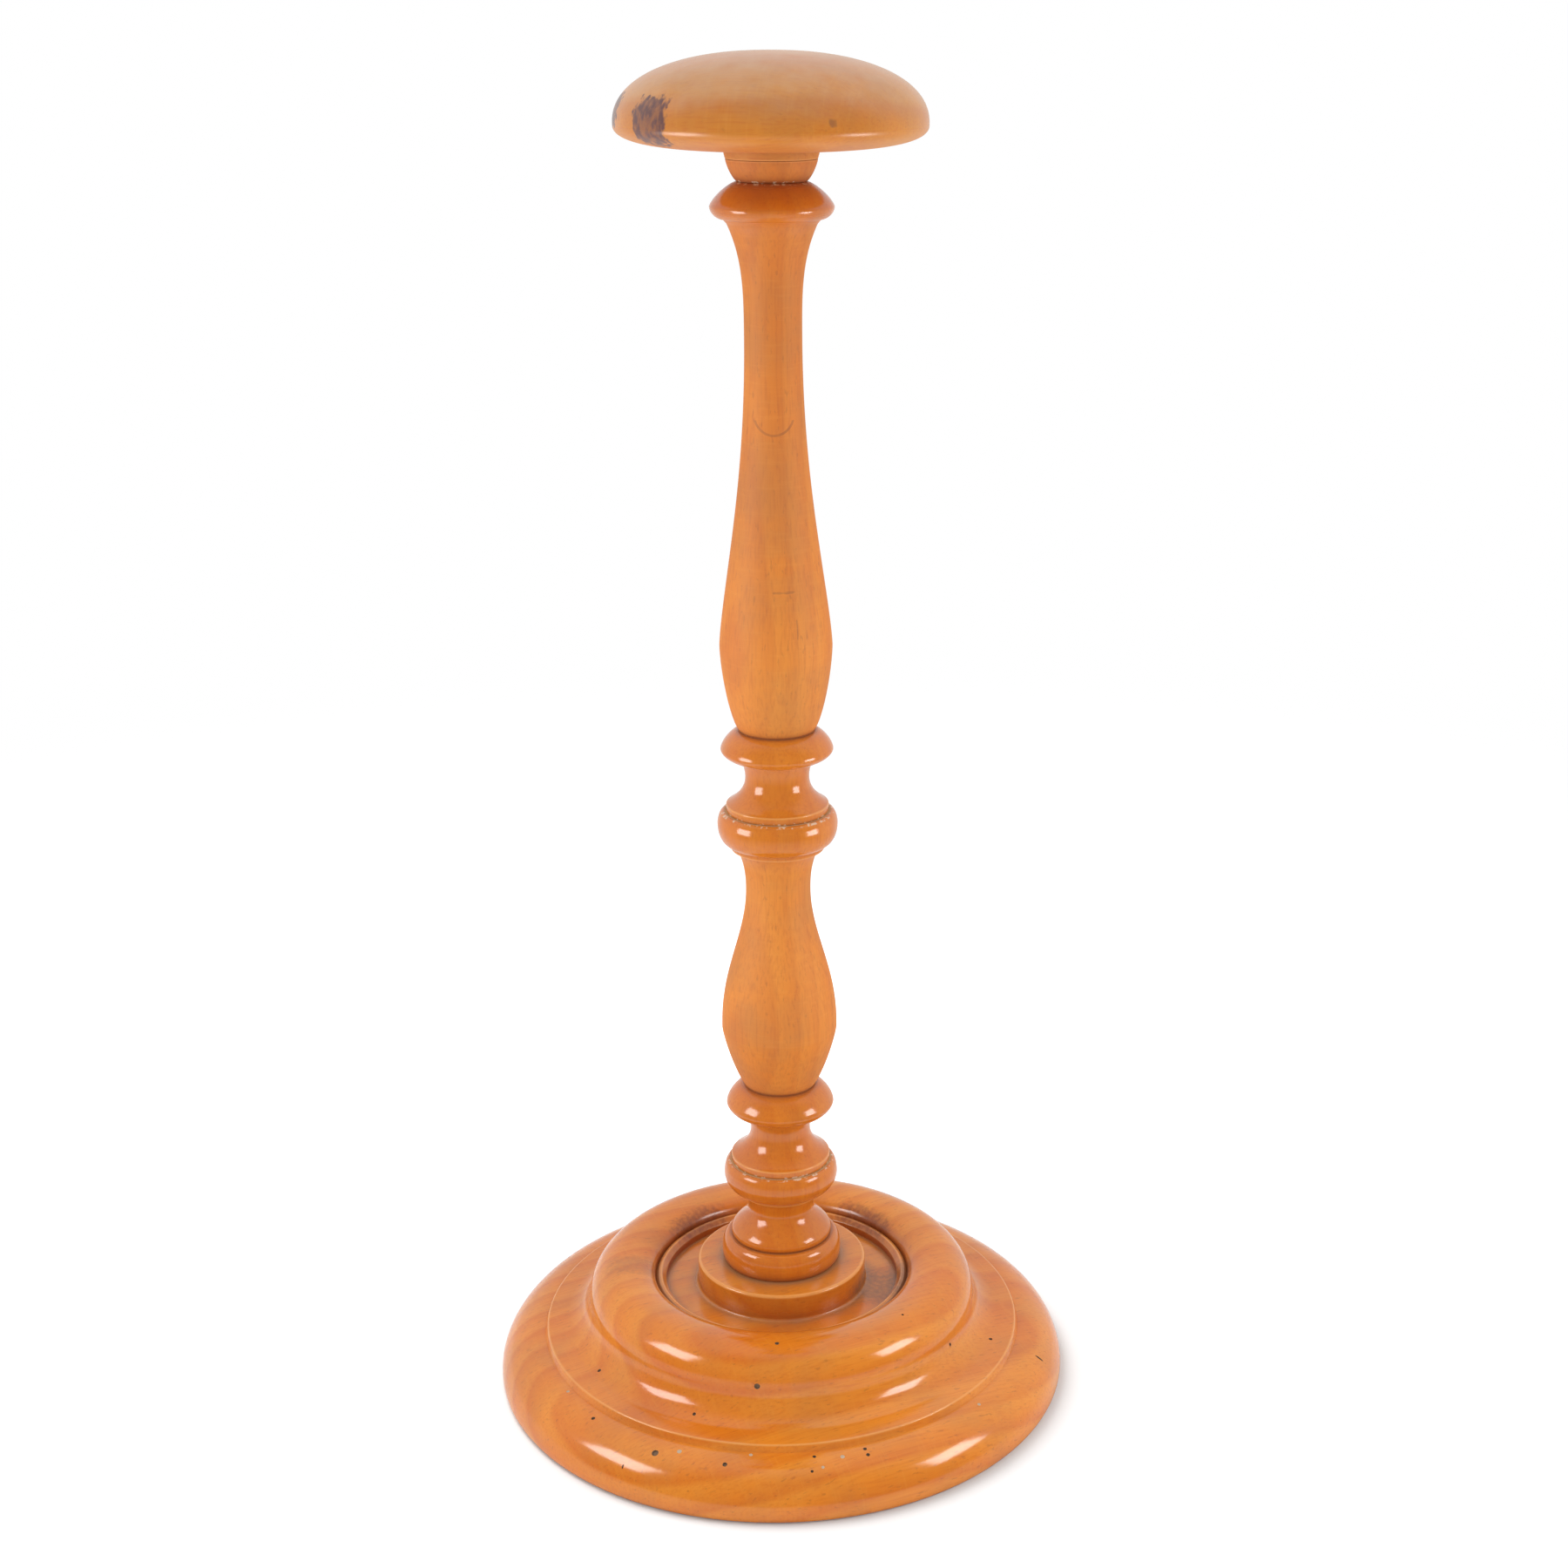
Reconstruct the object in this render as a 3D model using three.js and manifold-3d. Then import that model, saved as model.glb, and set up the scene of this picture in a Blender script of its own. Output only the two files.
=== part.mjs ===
// A turned wooden wig stand, about 405 mm tall, that comes apart at its knops.
// Units are millimetres, +Z is up, and the origin is the centre of the flat underside of the foot.
//
// Each piece is turned about +Z and drawn from its own seat: its outline is a line of points
// (radius, height), and its tenon or spigot hangs below height 0. Every size that a joint needs
// comes from the sizes below, so a tenon and its socket change together.

import * as THREE from 'three';
import { mergeVertices } from 'three/addons/utils/BufferGeometryUtils.js';
import Module from 'manifold-3d';

// Clearances and roundness
const fit = 0.3; // radial room of a tenon, spigot or wedge in its socket
const endRoom = 1; // room past the end of a tenon or spigot in its socket
const columnFaces = 28; // flats round a piece of the column
const headFaces = 40; // flats round the head
const footFaces = 48; // flats round the foot
const smoothness = 0.16; // how far a curve of an outline may stray from the facets drawn for it
const fewestFacets = 3; // facets of the shortest curve, enough to follow an S
const weld = 1e-4; // corners closer than this are one corner

// Sizes of the joints
const columnTenon = { radius: 5.6, depth: 36 }; // long tenon below each baluster
const spoolSpigot = { radius: 8.2, depth: 5 }; // short spigot below each spool
const cupSpigot = { radius: 4.2, depth: 14 }; // spigot below the neck cup
const headSpigot = { radius: 5.2, depth: 12 }; // pivot on the neck cup that the head turns on
const footTenon = { radius: 9, recess: 0.75 }; // tenon right through the foot
const wedge = { length: 20, thick: 2.4, tip: 0.9, reach: 8.4 }; // reach is half its width

// Sizes of the turned pieces, as radii and heights above each piece's own seat
const foot = {
  height: 37.5,
  soleRadius: 88.25,
  radius: 90,
  widestAt: 2.25,
  rollTop: 76,
  rollTopAt: 14.9,
  quirk: 75.5,
  quirkAt: 15.9,
  arris: 75,
  arrisAt: 16.9,
  coveFoot: 70,
  coveFootAt: 17.25,
  torus: 61.2,
  torusWidestAt: 26.2,
  torusTop: 50.5,
  torusTopAt: 36.4,
  groove: 40.3,
  grooveAt: 31,
  wellBluntness: 0.85,
  lipShoulder: 39.4,
  lipShoulderAt: 32,
  lip: 38.4,
  lipAt: 32.3,
  well: 36.9,
  wellEdgeAt: 30.8,
  wellFloorAt: 28.8,
  bossCove: 27.6,
  bossCoveAt: 29.8,
  boss: 26.6,
  bossEdge: 0.5,
};

const pedestal = {
  height: 34.5,
  seat: 17.8,
  footBead: 18.8,
  footBeadAt: 3.6,
  footBeadTop: 16.4,
  quirk: 15.3,
  quirkAt: 8.6,
  ogee: 15.8,
  ogeeAt: 10.2,
  neck: 10.3,
  neckAt: 18.6,
  neckLean: 0.85,
  filletFoot: 11.3,
  filletFlare: 2,
  fillet: 12.6,
  filletAt: 23.2,
  filletTopAt: 25.2,
  beadFoot: 14.4,
  beadBelow: 1.15,
  bead: 17.8,
  beadAt: 30,
  beadTop: 15.9,
};

const lowerSpool = {
  height: 26.25,
  collar: 15.3,
  arris: 15.4,
  arrisAt: 2.2,
  ogee: 14.9,
  ogeeAt: 2.4,
  neck: 9.3,
  neckAt: 11,
  beadFoot: 10.8,
  beadFootAt: 16.2,
  bead: 16.7,
  beadAt: 20,
  beadTop: 10.9,
};

const upperSpool = {
  height: 25.25,
  collar: 15.3,
  arris: 15.4,
  arrisAt: 2.2,
  ogee: 14.9,
  ogeeAt: 2.4,
  neck: 9.6,
  neckAt: 10.6,
  beadFoot: 10.9,
  beadFootAt: 16.1,
  bead: 16.8,
  beadAt: 19.4,
  beadTop: 11.3,
};

// How the curves of both spools run: the lean and flare of the waist, and the bead's bluntness
const spoolCurves = { neckLean: 0.52, beadFlare: 2, beadBelow: 1.13, beadAbove: 1.35 };

const lowerBaluster = {
  height: 89.75,
  seat: 10.8,
  belly: 17.7,
  bellyAt: 19.3,
  footBluntness: 1.62,
  neck: 9.8,
  neckAt: 64.6,
  neckLean: 1.12,
  flare: 12.4,
  flareAt: 77.9,
  flarePower: 2.4,
  fillet: 14.1,
  filletTop: 14.2,
  filletTopAt: 79.7,
  beadFoot: 14.9,
  bead: 18.1,
  beadAt: 85.6,
  beadTop: 16,
};

const upperBaluster = {
  height: 157.75,
  seat: 11,
  belly: 16.6,
  bellyAt: 25.75,
  footBluntness: 1.35,
  neck: 8.2,
  neckAt: 116,
  neckLean: 0.68,
  flare: 12.7,
  flareAt: 146.4,
  flarePower: 3.2,
  beadFoot: 13.8,
  beadFootAt: 147.6,
  beadBelow: 1.1,
  bead: 17.4,
  beadAt: 151,
  beadAbove: 1.5,
  beadTop: 9.7,
};

const neckCup = { height: 6, seat: 9.7, top: 12.8, bluntness: 1.5 };

const head = {
  height: 28.5,
  collar: 12.8,
  collarTop: 13.5,
  collarTopAt: 2.7,
  underside: 0.8,
  radius: 43.3,
  widestAt: 9.3,
  dome: 0.9,
};

// Roughness of the polish, and the tone of each piece, since each is cut from its own blank
const polish = 0.28;
const tones = {
  foot: 0xd27a35,
  wedge: 0xb98a55,
  pedestal: 0xc9702f,
  spool: 0xcc7431,
  lowerBaluster: 0xd68240,
  upperBaluster: 0xda8844,
  neckCup: 0xd0793a,
  head: 0xd9965a,
};

// How far the middles of equal steps along a curve lie from the facets drawn between their ends
function straying(curve, steps) {
  let farthest = 0;
  for (let step = 0; step < steps; step += 1) {
    const facetMiddle = curve(step / steps).lerp(curve((step + 1) / steps), 0.5);
    farthest = Math.max(farthest, curve((step + 0.5) / steps).distanceTo(facetMiddle));
  }
  return farthest;
}

// Shares of the way covered by a quarter round: first quick then slow, and the other way round
const leading = (bluntness) => (share) => Math.sin((share * Math.PI) / 2) ** bluntness;
const trailing = (bluntness) => (share) => 1 - leading(bluntness)(1 - share);
const steady = (share) => share;

// The outline of a turned piece, drawn as a chain of straight and curved stretches
class Outline {
  constructor(radius, height) {
    this.points = [new THREE.Vector2(radius, height)];
  }

  // Straight to a point
  to(radius, height) {
    this.points.push(new THREE.Vector2(radius, height));
    return this;
  }

  // A curve to a point, from the shares of the way outwards and upwards that each step has covered
  curve(radius, height, outwards, upwards) {
    const start = this.points.at(-1);
    const at = (share) =>
      new THREE.Vector2(
        THREE.MathUtils.lerp(start.x, radius, outwards(share)),
        THREE.MathUtils.lerp(start.y, height, upwards(share)),
      );
    let steps = fewestFacets;
    while (straying(at, steps) > smoothness) steps += 1;
    for (let step = 1; step <= steps; step += 1) this.points.push(at(step / steps));
    return this;
  }

  // A quarter round that leaves level and arrives upright; bluntness 2 would be a straight line
  swell(radius, height, bluntness = 1) {
    return this.curve(radius, height, leading(bluntness), trailing(bluntness));
  }

  // A quarter round that leaves upright and arrives level
  close(radius, height, bluntness = 1) {
    return this.curve(radius, height, trailing(bluntness), leading(bluntness));
  }

  // An S curve, upright at both ends, with its turning point moved by the lean
  sway(radius, height, lean = 1) {
    return this.curve(radius, height, (share) => (1 - Math.cos(share ** lean * Math.PI)) / 2, steady);
  }

  // A trumpet that opens slowly at first
  flare(radius, height, power) {
    return this.curve(radius, height, (share) => share ** power, steady);
  }

  // A blind or stepped socket from the top down: each step is a radius and the height of its floor
  socket(...levels) {
    for (const [radius, floor] of levels) {
      this.to(radius, this.points.at(-1).y);
      this.to(radius, floor);
    }
    return this;
  }
}

// A closed mesh with its shared corners merged and the flat slivers at the poles left out
function sealed(geometry) {
  const bare = new THREE.BufferGeometry();
  bare.setAttribute('position', geometry.getAttribute('position'));
  bare.setIndex(geometry.getIndex());
  const merged = mergeVertices(bare, weld);
  const corners = merged.getIndex().array;
  const kept = [];
  for (let i = 0; i < corners.length; i += 3) {
    const [a, b, c] = corners.slice(i, i + 3);
    if (a !== b && b !== c && c !== a) kept.push(a, b, c);
  }
  merged.setIndex(kept);
  merged.computeVertexNormals();
  return merged;
}

// A solid turned about +Z from an outline that runs outside first, from the bottom up
function turned(outline, faces) {
  const geometry = new THREE.LatheGeometry(outline.points, faces);
  geometry.rotateX(Math.PI / 2);
  return sealed(geometry);
}

// A solid turned like a ring: its outline runs back to where it starts
function turnedRing(outline, faces) {
  outline.points.push(outline.points[0].clone());
  return turned(outline, faces);
}

const wasm = await Module();
wasm.setup();

// The first solid with the second cut away
function cut(geometry, cutter) {
  const [body, tool] = [geometry, cutter].map(
    (shape) =>
      new wasm.Manifold(
        new wasm.Mesh({
          numProp: 3,
          vertProperties: Float32Array.from(shape.getAttribute('position').array),
          triVerts: Uint32Array.from(shape.getIndex().array),
        }),
      ),
  );
  const mesh = body.subtract(tool).getMesh();
  const result = new THREE.BufferGeometry();
  result.setAttribute('position', new THREE.BufferAttribute(mesh.vertProperties, 3));
  result.setIndex(new THREE.BufferAttribute(mesh.triVerts, 1));
  return sealed(result);
}

function piece(name, geometry, color, seat) {
  const wood = new THREE.MeshStandardMaterial({ color, roughness: polish, metalness: 0 });
  const mesh = new THREE.Mesh(geometry, wood);
  mesh.name = name;
  mesh.position.z = seat;
  return mesh;
}

const socketRadius = (spigot) => spigot.radius + fit;
const socketDepth = (spigot) => spigot.depth + endRoom;

// The floor of the socket for a long tenon that comes down through the spool above a piece
const tenonFloor = (below, spool) => below.height + spool.height - socketDepth(columnTenon);

// The foot: an outer roll, a sharp arris, a cove, a torus, the pin well with its lip, and the boss
function footSolid() {
  const bore = footTenon.radius + fit;
  const outline = new Outline(bore, 0)
    .to(foot.soleRadius, 0)
    .swell(foot.radius, foot.widestAt)
    .close(foot.rollTop, foot.rollTopAt)
    .to(foot.quirk, foot.quirkAt)
    .to(foot.arris, foot.arrisAt)
    .to(foot.coveFoot, foot.coveFootAt)
    .swell(foot.torus, foot.torusWidestAt)
    .close(foot.torusTop, foot.torusTopAt)
    .swell(foot.groove, foot.grooveAt, foot.wellBluntness)
    .to(foot.lipShoulder, foot.lipShoulderAt)
    .to(foot.lip, foot.lipAt)
    .to(foot.well, foot.wellEdgeAt)
    .to(foot.well, foot.wellFloorAt)
    .to(foot.bossCove, foot.wellFloorAt)
    .swell(foot.boss, foot.bossCoveAt)
    .to(foot.boss, foot.height - foot.bossEdge)
    .to(foot.boss - foot.bossEdge, foot.height)
    .to(bore, foot.height);
  return turnedRing(outline, footFaces);
}

// A wedge that tapers upwards and reaches a distance to both sides, larger all round by the room
function wedgeSolid(reach, room) {
  const shape = new THREE.Shape();
  shape.moveTo(-wedge.thick / 2 - room, -room);
  shape.lineTo(wedge.thick / 2 + room, -room);
  shape.lineTo(wedge.tip / 2 + room, wedge.length + room);
  shape.lineTo(-wedge.tip / 2 - room, wedge.length + room);
  shape.closePath();
  const geometry = new THREE.ExtrudeGeometry(shape, { depth: reach * 2, bevelEnabled: false });
  geometry.translate(0, 0, -reach);
  geometry.rotateX(Math.PI / 2);
  return sealed(geometry);
}

// The pedestal on the boss, with its tenon slit right across from below for the wedge
function pedestalSolid() {
  const tenonEnd = footTenon.recess - foot.height;
  const outline = new Outline(0, tenonEnd)
    .to(footTenon.radius, tenonEnd)
    .to(footTenon.radius, 0)
    .to(pedestal.seat, 0)
    .swell(pedestal.footBead, pedestal.footBeadAt)
    .close(pedestal.footBeadTop, pedestal.quirkAt)
    .to(pedestal.quirk, pedestal.quirkAt)
    .swell(pedestal.ogee, pedestal.ogeeAt)
    .sway(pedestal.neck, pedestal.neckAt, pedestal.neckLean)
    .flare(pedestal.filletFoot, pedestal.filletAt, pedestal.filletFlare)
    .to(pedestal.fillet, pedestal.filletAt)
    .to(pedestal.fillet, pedestal.filletTopAt)
    .to(pedestal.beadFoot, pedestal.filletTopAt)
    .swell(pedestal.bead, pedestal.beadAt, pedestal.beadBelow)
    .close(pedestal.beadTop, pedestal.height)
    .socket(
      [socketRadius(spoolSpigot), pedestal.height - socketDepth(spoolSpigot)],
      [socketRadius(columnTenon), tenonFloor(pedestal, lowerSpool)],
    )
    .to(0, tenonFloor(pedestal, lowerSpool));
  const slit = wedgeSolid(footTenon.radius + fit, fit);
  slit.translate(0, 0, tenonEnd);
  return cut(turned(outline, columnFaces), slit);
}

// A spool of a knop: an ogee collar, a waist and a bead, bored through for the tenon above
function spoolSolid(spool) {
  const bore = socketRadius(columnTenon);
  const outline = new Outline(bore, -spoolSpigot.depth)
    .to(spoolSpigot.radius, -spoolSpigot.depth)
    .to(spoolSpigot.radius, 0)
    .to(spool.collar, 0)
    .to(spool.arris, spool.arrisAt)
    .to(spool.ogee, spool.ogeeAt)
    .sway(spool.neck, spool.neckAt, spoolCurves.neckLean)
    .flare(spool.beadFoot, spool.beadFootAt, spoolCurves.beadFlare)
    .swell(spool.bead, spool.beadAt, spoolCurves.beadBelow)
    .close(spool.beadTop, spool.height, spoolCurves.beadAbove)
    .to(bore, spool.height);
  return turnedRing(outline, columnFaces);
}

// The lower baluster: a vase under a fillet and a bead, with a stepped socket in its top
function lowerBalusterSolid() {
  const outline = new Outline(0, -columnTenon.depth)
    .to(columnTenon.radius, -columnTenon.depth)
    .to(columnTenon.radius, 0)
    .to(lowerBaluster.seat, 0)
    .swell(lowerBaluster.belly, lowerBaluster.bellyAt, lowerBaluster.footBluntness)
    .sway(lowerBaluster.neck, lowerBaluster.neckAt, lowerBaluster.neckLean)
    .flare(lowerBaluster.flare, lowerBaluster.flareAt, lowerBaluster.flarePower)
    .to(lowerBaluster.fillet, lowerBaluster.flareAt)
    .to(lowerBaluster.filletTop, lowerBaluster.filletTopAt)
    .to(lowerBaluster.beadFoot, lowerBaluster.filletTopAt)
    .swell(lowerBaluster.bead, lowerBaluster.beadAt)
    .close(lowerBaluster.beadTop, lowerBaluster.height)
    .socket(
      [socketRadius(spoolSpigot), lowerBaluster.height - socketDepth(spoolSpigot)],
      [socketRadius(columnTenon), tenonFloor(lowerBaluster, upperSpool)],
    )
    .to(0, tenonFloor(lowerBaluster, upperSpool));
  return turned(outline, columnFaces);
}

// The upper baluster: a long vase and a trumpet under a bead, with a socket for the neck cup
function upperBalusterSolid() {
  const outline = new Outline(0, -columnTenon.depth)
    .to(columnTenon.radius, -columnTenon.depth)
    .to(columnTenon.radius, 0)
    .to(upperBaluster.seat, 0)
    .swell(upperBaluster.belly, upperBaluster.bellyAt, upperBaluster.footBluntness)
    .sway(upperBaluster.neck, upperBaluster.neckAt, upperBaluster.neckLean)
    .flare(upperBaluster.flare, upperBaluster.flareAt, upperBaluster.flarePower)
    .to(upperBaluster.beadFoot, upperBaluster.beadFootAt)
    .swell(upperBaluster.bead, upperBaluster.beadAt, upperBaluster.beadBelow)
    .close(upperBaluster.beadTop, upperBaluster.height, upperBaluster.beadAbove)
    .socket([socketRadius(cupSpigot), upperBaluster.height - socketDepth(cupSpigot)])
    .to(0, upperBaluster.height - socketDepth(cupSpigot));
  return turned(outline, columnFaces);
}

// The neck cup, with a spigot down into the column and a pivot up into the head
function neckCupSolid() {
  const outline = new Outline(0, -cupSpigot.depth)
    .to(cupSpigot.radius, -cupSpigot.depth)
    .to(cupSpigot.radius, 0)
    .to(neckCup.seat, 0)
    .swell(neckCup.top, neckCup.height, neckCup.bluntness)
    .to(headSpigot.radius, neckCup.height)
    .to(headSpigot.radius, neckCup.height + headSpigot.depth)
    .to(0, neckCup.height + headSpigot.depth);
  return turned(outline, columnFaces);
}

// The mushroom head, with a blind socket up from its collar
function headSolid() {
  const outline = new Outline(0, socketDepth(headSpigot))
    .to(socketRadius(headSpigot), socketDepth(headSpigot))
    .to(socketRadius(headSpigot), 0)
    .to(head.collar, 0)
    .to(head.collarTop, head.collarTopAt)
    .swell(head.radius, head.widestAt, head.underside)
    .close(0, head.height, head.dome);
  return turned(outline, headFaces);
}

// The stand, built up from the foot, with each group on the one that it lifts off
const stand = new THREE.Group();
stand.add(piece('base_foot', footSolid(), tones.foot, 0));
stand.add(piece('tenon_wedge', wedgeSolid(wedge.reach, 0), tones.wedge, footTenon.recess));

const pedestalGroup = new THREE.Group();
pedestalGroup.position.z = foot.height;
pedestalGroup.add(piece('pedestal', pedestalSolid(), tones.pedestal, 0));
pedestalGroup.add(piece('lower_spool', spoolSolid(lowerSpool), tones.spool, pedestal.height));
stand.add(pedestalGroup);

const lowerColumn = new THREE.Group();
lowerColumn.position.z = pedestal.height + lowerSpool.height;
lowerColumn.add(piece('lower_baluster', lowerBalusterSolid(), tones.lowerBaluster, 0));
lowerColumn.add(piece('upper_spool', spoolSolid(upperSpool), tones.spool, lowerBaluster.height));
pedestalGroup.add(lowerColumn);

const upperColumn = new THREE.Group();
upperColumn.position.z = lowerBaluster.height + upperSpool.height;
upperColumn.add(piece('upper_baluster', upperBalusterSolid(), tones.upperBaluster, 0));
lowerColumn.add(upperColumn);

const headGroup = new THREE.Group();
headGroup.position.z = upperBaluster.height;
headGroup.add(piece('neck_cup', neckCupSolid(), tones.neckCup, 0));
headGroup.add(piece('head_dome', headSolid(), tones.head, neckCup.height));
upperColumn.add(headGroup);

export default stand;
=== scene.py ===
"""A turned wooden wig stand on a pale floor, in soft studio light.

Every piece is turned about the Z axis from an outline of points (radius, height) in millimetres,
drawn from the piece's own seat. A mesh is in metres and stands in place on the stand. Each piece
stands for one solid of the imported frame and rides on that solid's body.
"""

from __future__ import annotations

import logging
import math
from abc import ABC, abstractmethod
from collections.abc import Callable, Iterable
from dataclasses import dataclass, fields
from enum import Enum, IntEnum

import bmesh
import bpy
import numpy as np
from mathutils import Euler, Matrix, Vector


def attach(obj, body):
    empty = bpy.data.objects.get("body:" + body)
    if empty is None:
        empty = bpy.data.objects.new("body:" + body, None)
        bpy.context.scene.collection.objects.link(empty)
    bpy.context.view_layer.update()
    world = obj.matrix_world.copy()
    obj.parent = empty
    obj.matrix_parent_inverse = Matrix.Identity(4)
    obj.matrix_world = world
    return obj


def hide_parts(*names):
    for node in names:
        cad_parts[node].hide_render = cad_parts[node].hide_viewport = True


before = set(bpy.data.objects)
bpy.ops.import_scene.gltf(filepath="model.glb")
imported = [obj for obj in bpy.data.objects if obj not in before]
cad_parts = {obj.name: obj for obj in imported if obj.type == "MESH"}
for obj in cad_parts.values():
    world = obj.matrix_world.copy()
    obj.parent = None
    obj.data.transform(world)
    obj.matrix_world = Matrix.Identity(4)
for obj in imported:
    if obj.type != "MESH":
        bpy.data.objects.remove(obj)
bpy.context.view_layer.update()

logger = logging.getLogger("wig_stand")

MM = 0.001  # metres in a millimetre
SMOOTHNESS = 0.012  # how far, in mm, a curve may stray from the facets drawn for it
LONGEST_FACET = 0.8  # mm along an outline, so that wear and dust can change along it
WELD = 0.004  # mm, below which two corners are one
CORNER_TURN = math.radians(24)  # an outline that turns more than this has a worn corner there
CREASE = math.radians(38)  # edges sharper than this are shaded as edges

WAVES_PER_UNIT = 20  # how many radians a wave texture turns through in a unit at scale 1

EDGE_REACH = 0.8  # mm from a worn corner to where its polish is whole again and its painted highlight ends
GRIP_FADE = 8.0  # mm over which the gloss comes back beside a grip
WAXED_SEAMS = (72.0, 188.0, 371.0)  # heights in mm of the seams with old wax in them
WAX_REACH = 0.4  # mm that the wax reaches above and below such a seam

Point = tuple[float, float]
Size = tuple[float, float, float]
Share = Callable[[float], float]
Output = bpy.types.NodeSocket


class Face(IntEnum):
    """The material slots of every piece."""

    POLISHED = 0
    BARE = 1
    BORED = 2
    WAXED = 3


class Cut(Enum):
    """How a blank was cut from the tree: its length stands up in the piece or lies across it."""

    UPRIGHT = "upright"
    ACROSS = "across"


# Outlines


def leading(bluntness: float) -> Share:
    """Gives the share of a quarter round's way that starts fast and ends slow."""
    return lambda share: math.sin(share * math.pi / 2) ** bluntness


def trailing(bluntness: float) -> Share:
    """Gives the share of a quarter round's way that starts slow and ends fast."""
    return lambda share: 1 - leading(bluntness)(1 - share)


class Outline:
    """The outline of a turned piece, drawn outside first from the bottom up."""

    def __init__(self, radius: float, height: float) -> None:
        """Starts the outline at a point."""
        self.points: list[Point] = [(radius, height)]

    def to(self, radius: float, height: float, facet: float = LONGEST_FACET) -> Outline:
        """Goes straight to a point.

        Args:
            radius: distance of the point from the turning axis, in mm.
            height: height of the point above the seat, in mm.
            facet: length of the longest facet on the way, in mm.

        Returns:
            The outline itself, to draw on from.
        """
        start = Vector(self.points[-1])
        end = Vector((radius, height))
        steps = max(1, math.ceil((end - start).length / facet))
        self.points += [tuple(start.lerp(end, step / steps)) for step in range(1, steps)]
        self.points.append((radius, height))
        return self

    def curve(self, radius: float, height: float, outwards: Share, upwards: Share) -> Outline:
        """Goes along a curve to a point, in as few facets as follow it.

        Args:
            radius: distance of the end from the turning axis, in mm.
            height: height of the end above the seat, in mm.
            outwards: share of the way outwards that is covered at each share of the curve.
            upwards: share of the way upwards that is covered at each share of the curve.

        Returns:
            The outline itself, to draw on from.
        """
        start_radius, start_height = self.points[-1]

        def at(share: float) -> Vector:
            """Gives the place at a share of the curve."""
            return Vector(
                (
                    start_radius + (radius - start_radius) * outwards(share),
                    start_height + (height - start_height) * upwards(share),
                )
            )

        def fits(steps: int) -> bool:
            """Says whether so many facets follow the curve, none of them too long.

            Args:
                steps: how many facets there are.

            Returns:
                True where they do.
            """
            ends = [at(step / steps) for step in range(steps + 1)]
            for step, (low, high) in enumerate(zip(ends, ends[1:])):
                facet = high - low
                bulge = (at((step + 0.5) / steps) - low).cross(facet) / facet.length
                if abs(bulge) > SMOOTHNESS or facet.length > LONGEST_FACET:
                    return False
            return True

        steps = 3
        while not fits(steps):
            steps += 1
        self.points += [tuple(at(step / steps)) for step in range(1, steps)]
        self.points.append((radius, height))
        return self

    def swell(self, radius: float, height: float, bluntness: float = 1) -> Outline:
        """Draws a quarter round that leaves level and arrives upright."""
        return self.curve(radius, height, leading(bluntness), trailing(bluntness))

    def close(self, radius: float, height: float, bluntness: float = 1) -> Outline:
        """Draws a quarter round that leaves upright and arrives level."""
        return self.curve(radius, height, trailing(bluntness), leading(bluntness))

    def sway(self, radius: float, height: float, lean: float = 1) -> Outline:
        """Draws an S curve, upright at both ends, with its turning point moved by the lean."""
        return self.curve(
            radius,
            height,
            lambda share: (1 - math.cos(share**lean * math.pi)) / 2,
            lambda share: share,
        )

    def flare(self, radius: float, height: float, power: float) -> Outline:
        """Draws a trumpet that opens slowly at first."""
        return self.curve(radius, height, lambda share: share**power, lambda share: share)

    def socket(self, *levels: Point) -> Outline:
        """Draws a stepped socket from the top down: the radius and the floor of each step.

        Args:
            levels: radius and floor of each step, in mm.

        Returns:
            The outline itself, to draw on from.
        """
        for radius, floor in levels:
            self.to(radius, self.points[-1][1])
            self.to(radius, floor)
        return self

    def outer_corners(self) -> list[int]:
        """Gives the places in the list of points where the outline turns an outer corner.

        Returns:
            The place of each such corner in the list of points.
        """
        found = []
        for place in range(1, len(self.points) - 1):
            before, here, after = (Vector(p) for p in self.points[place - 1 : place + 2])
            if (here - before).length < WELD or (after - here).length < WELD:
                continue
            if (here - before).angle_signed(after - here) < -CORNER_TURN:
                found.append(place)
        return found


# Shelter


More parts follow.
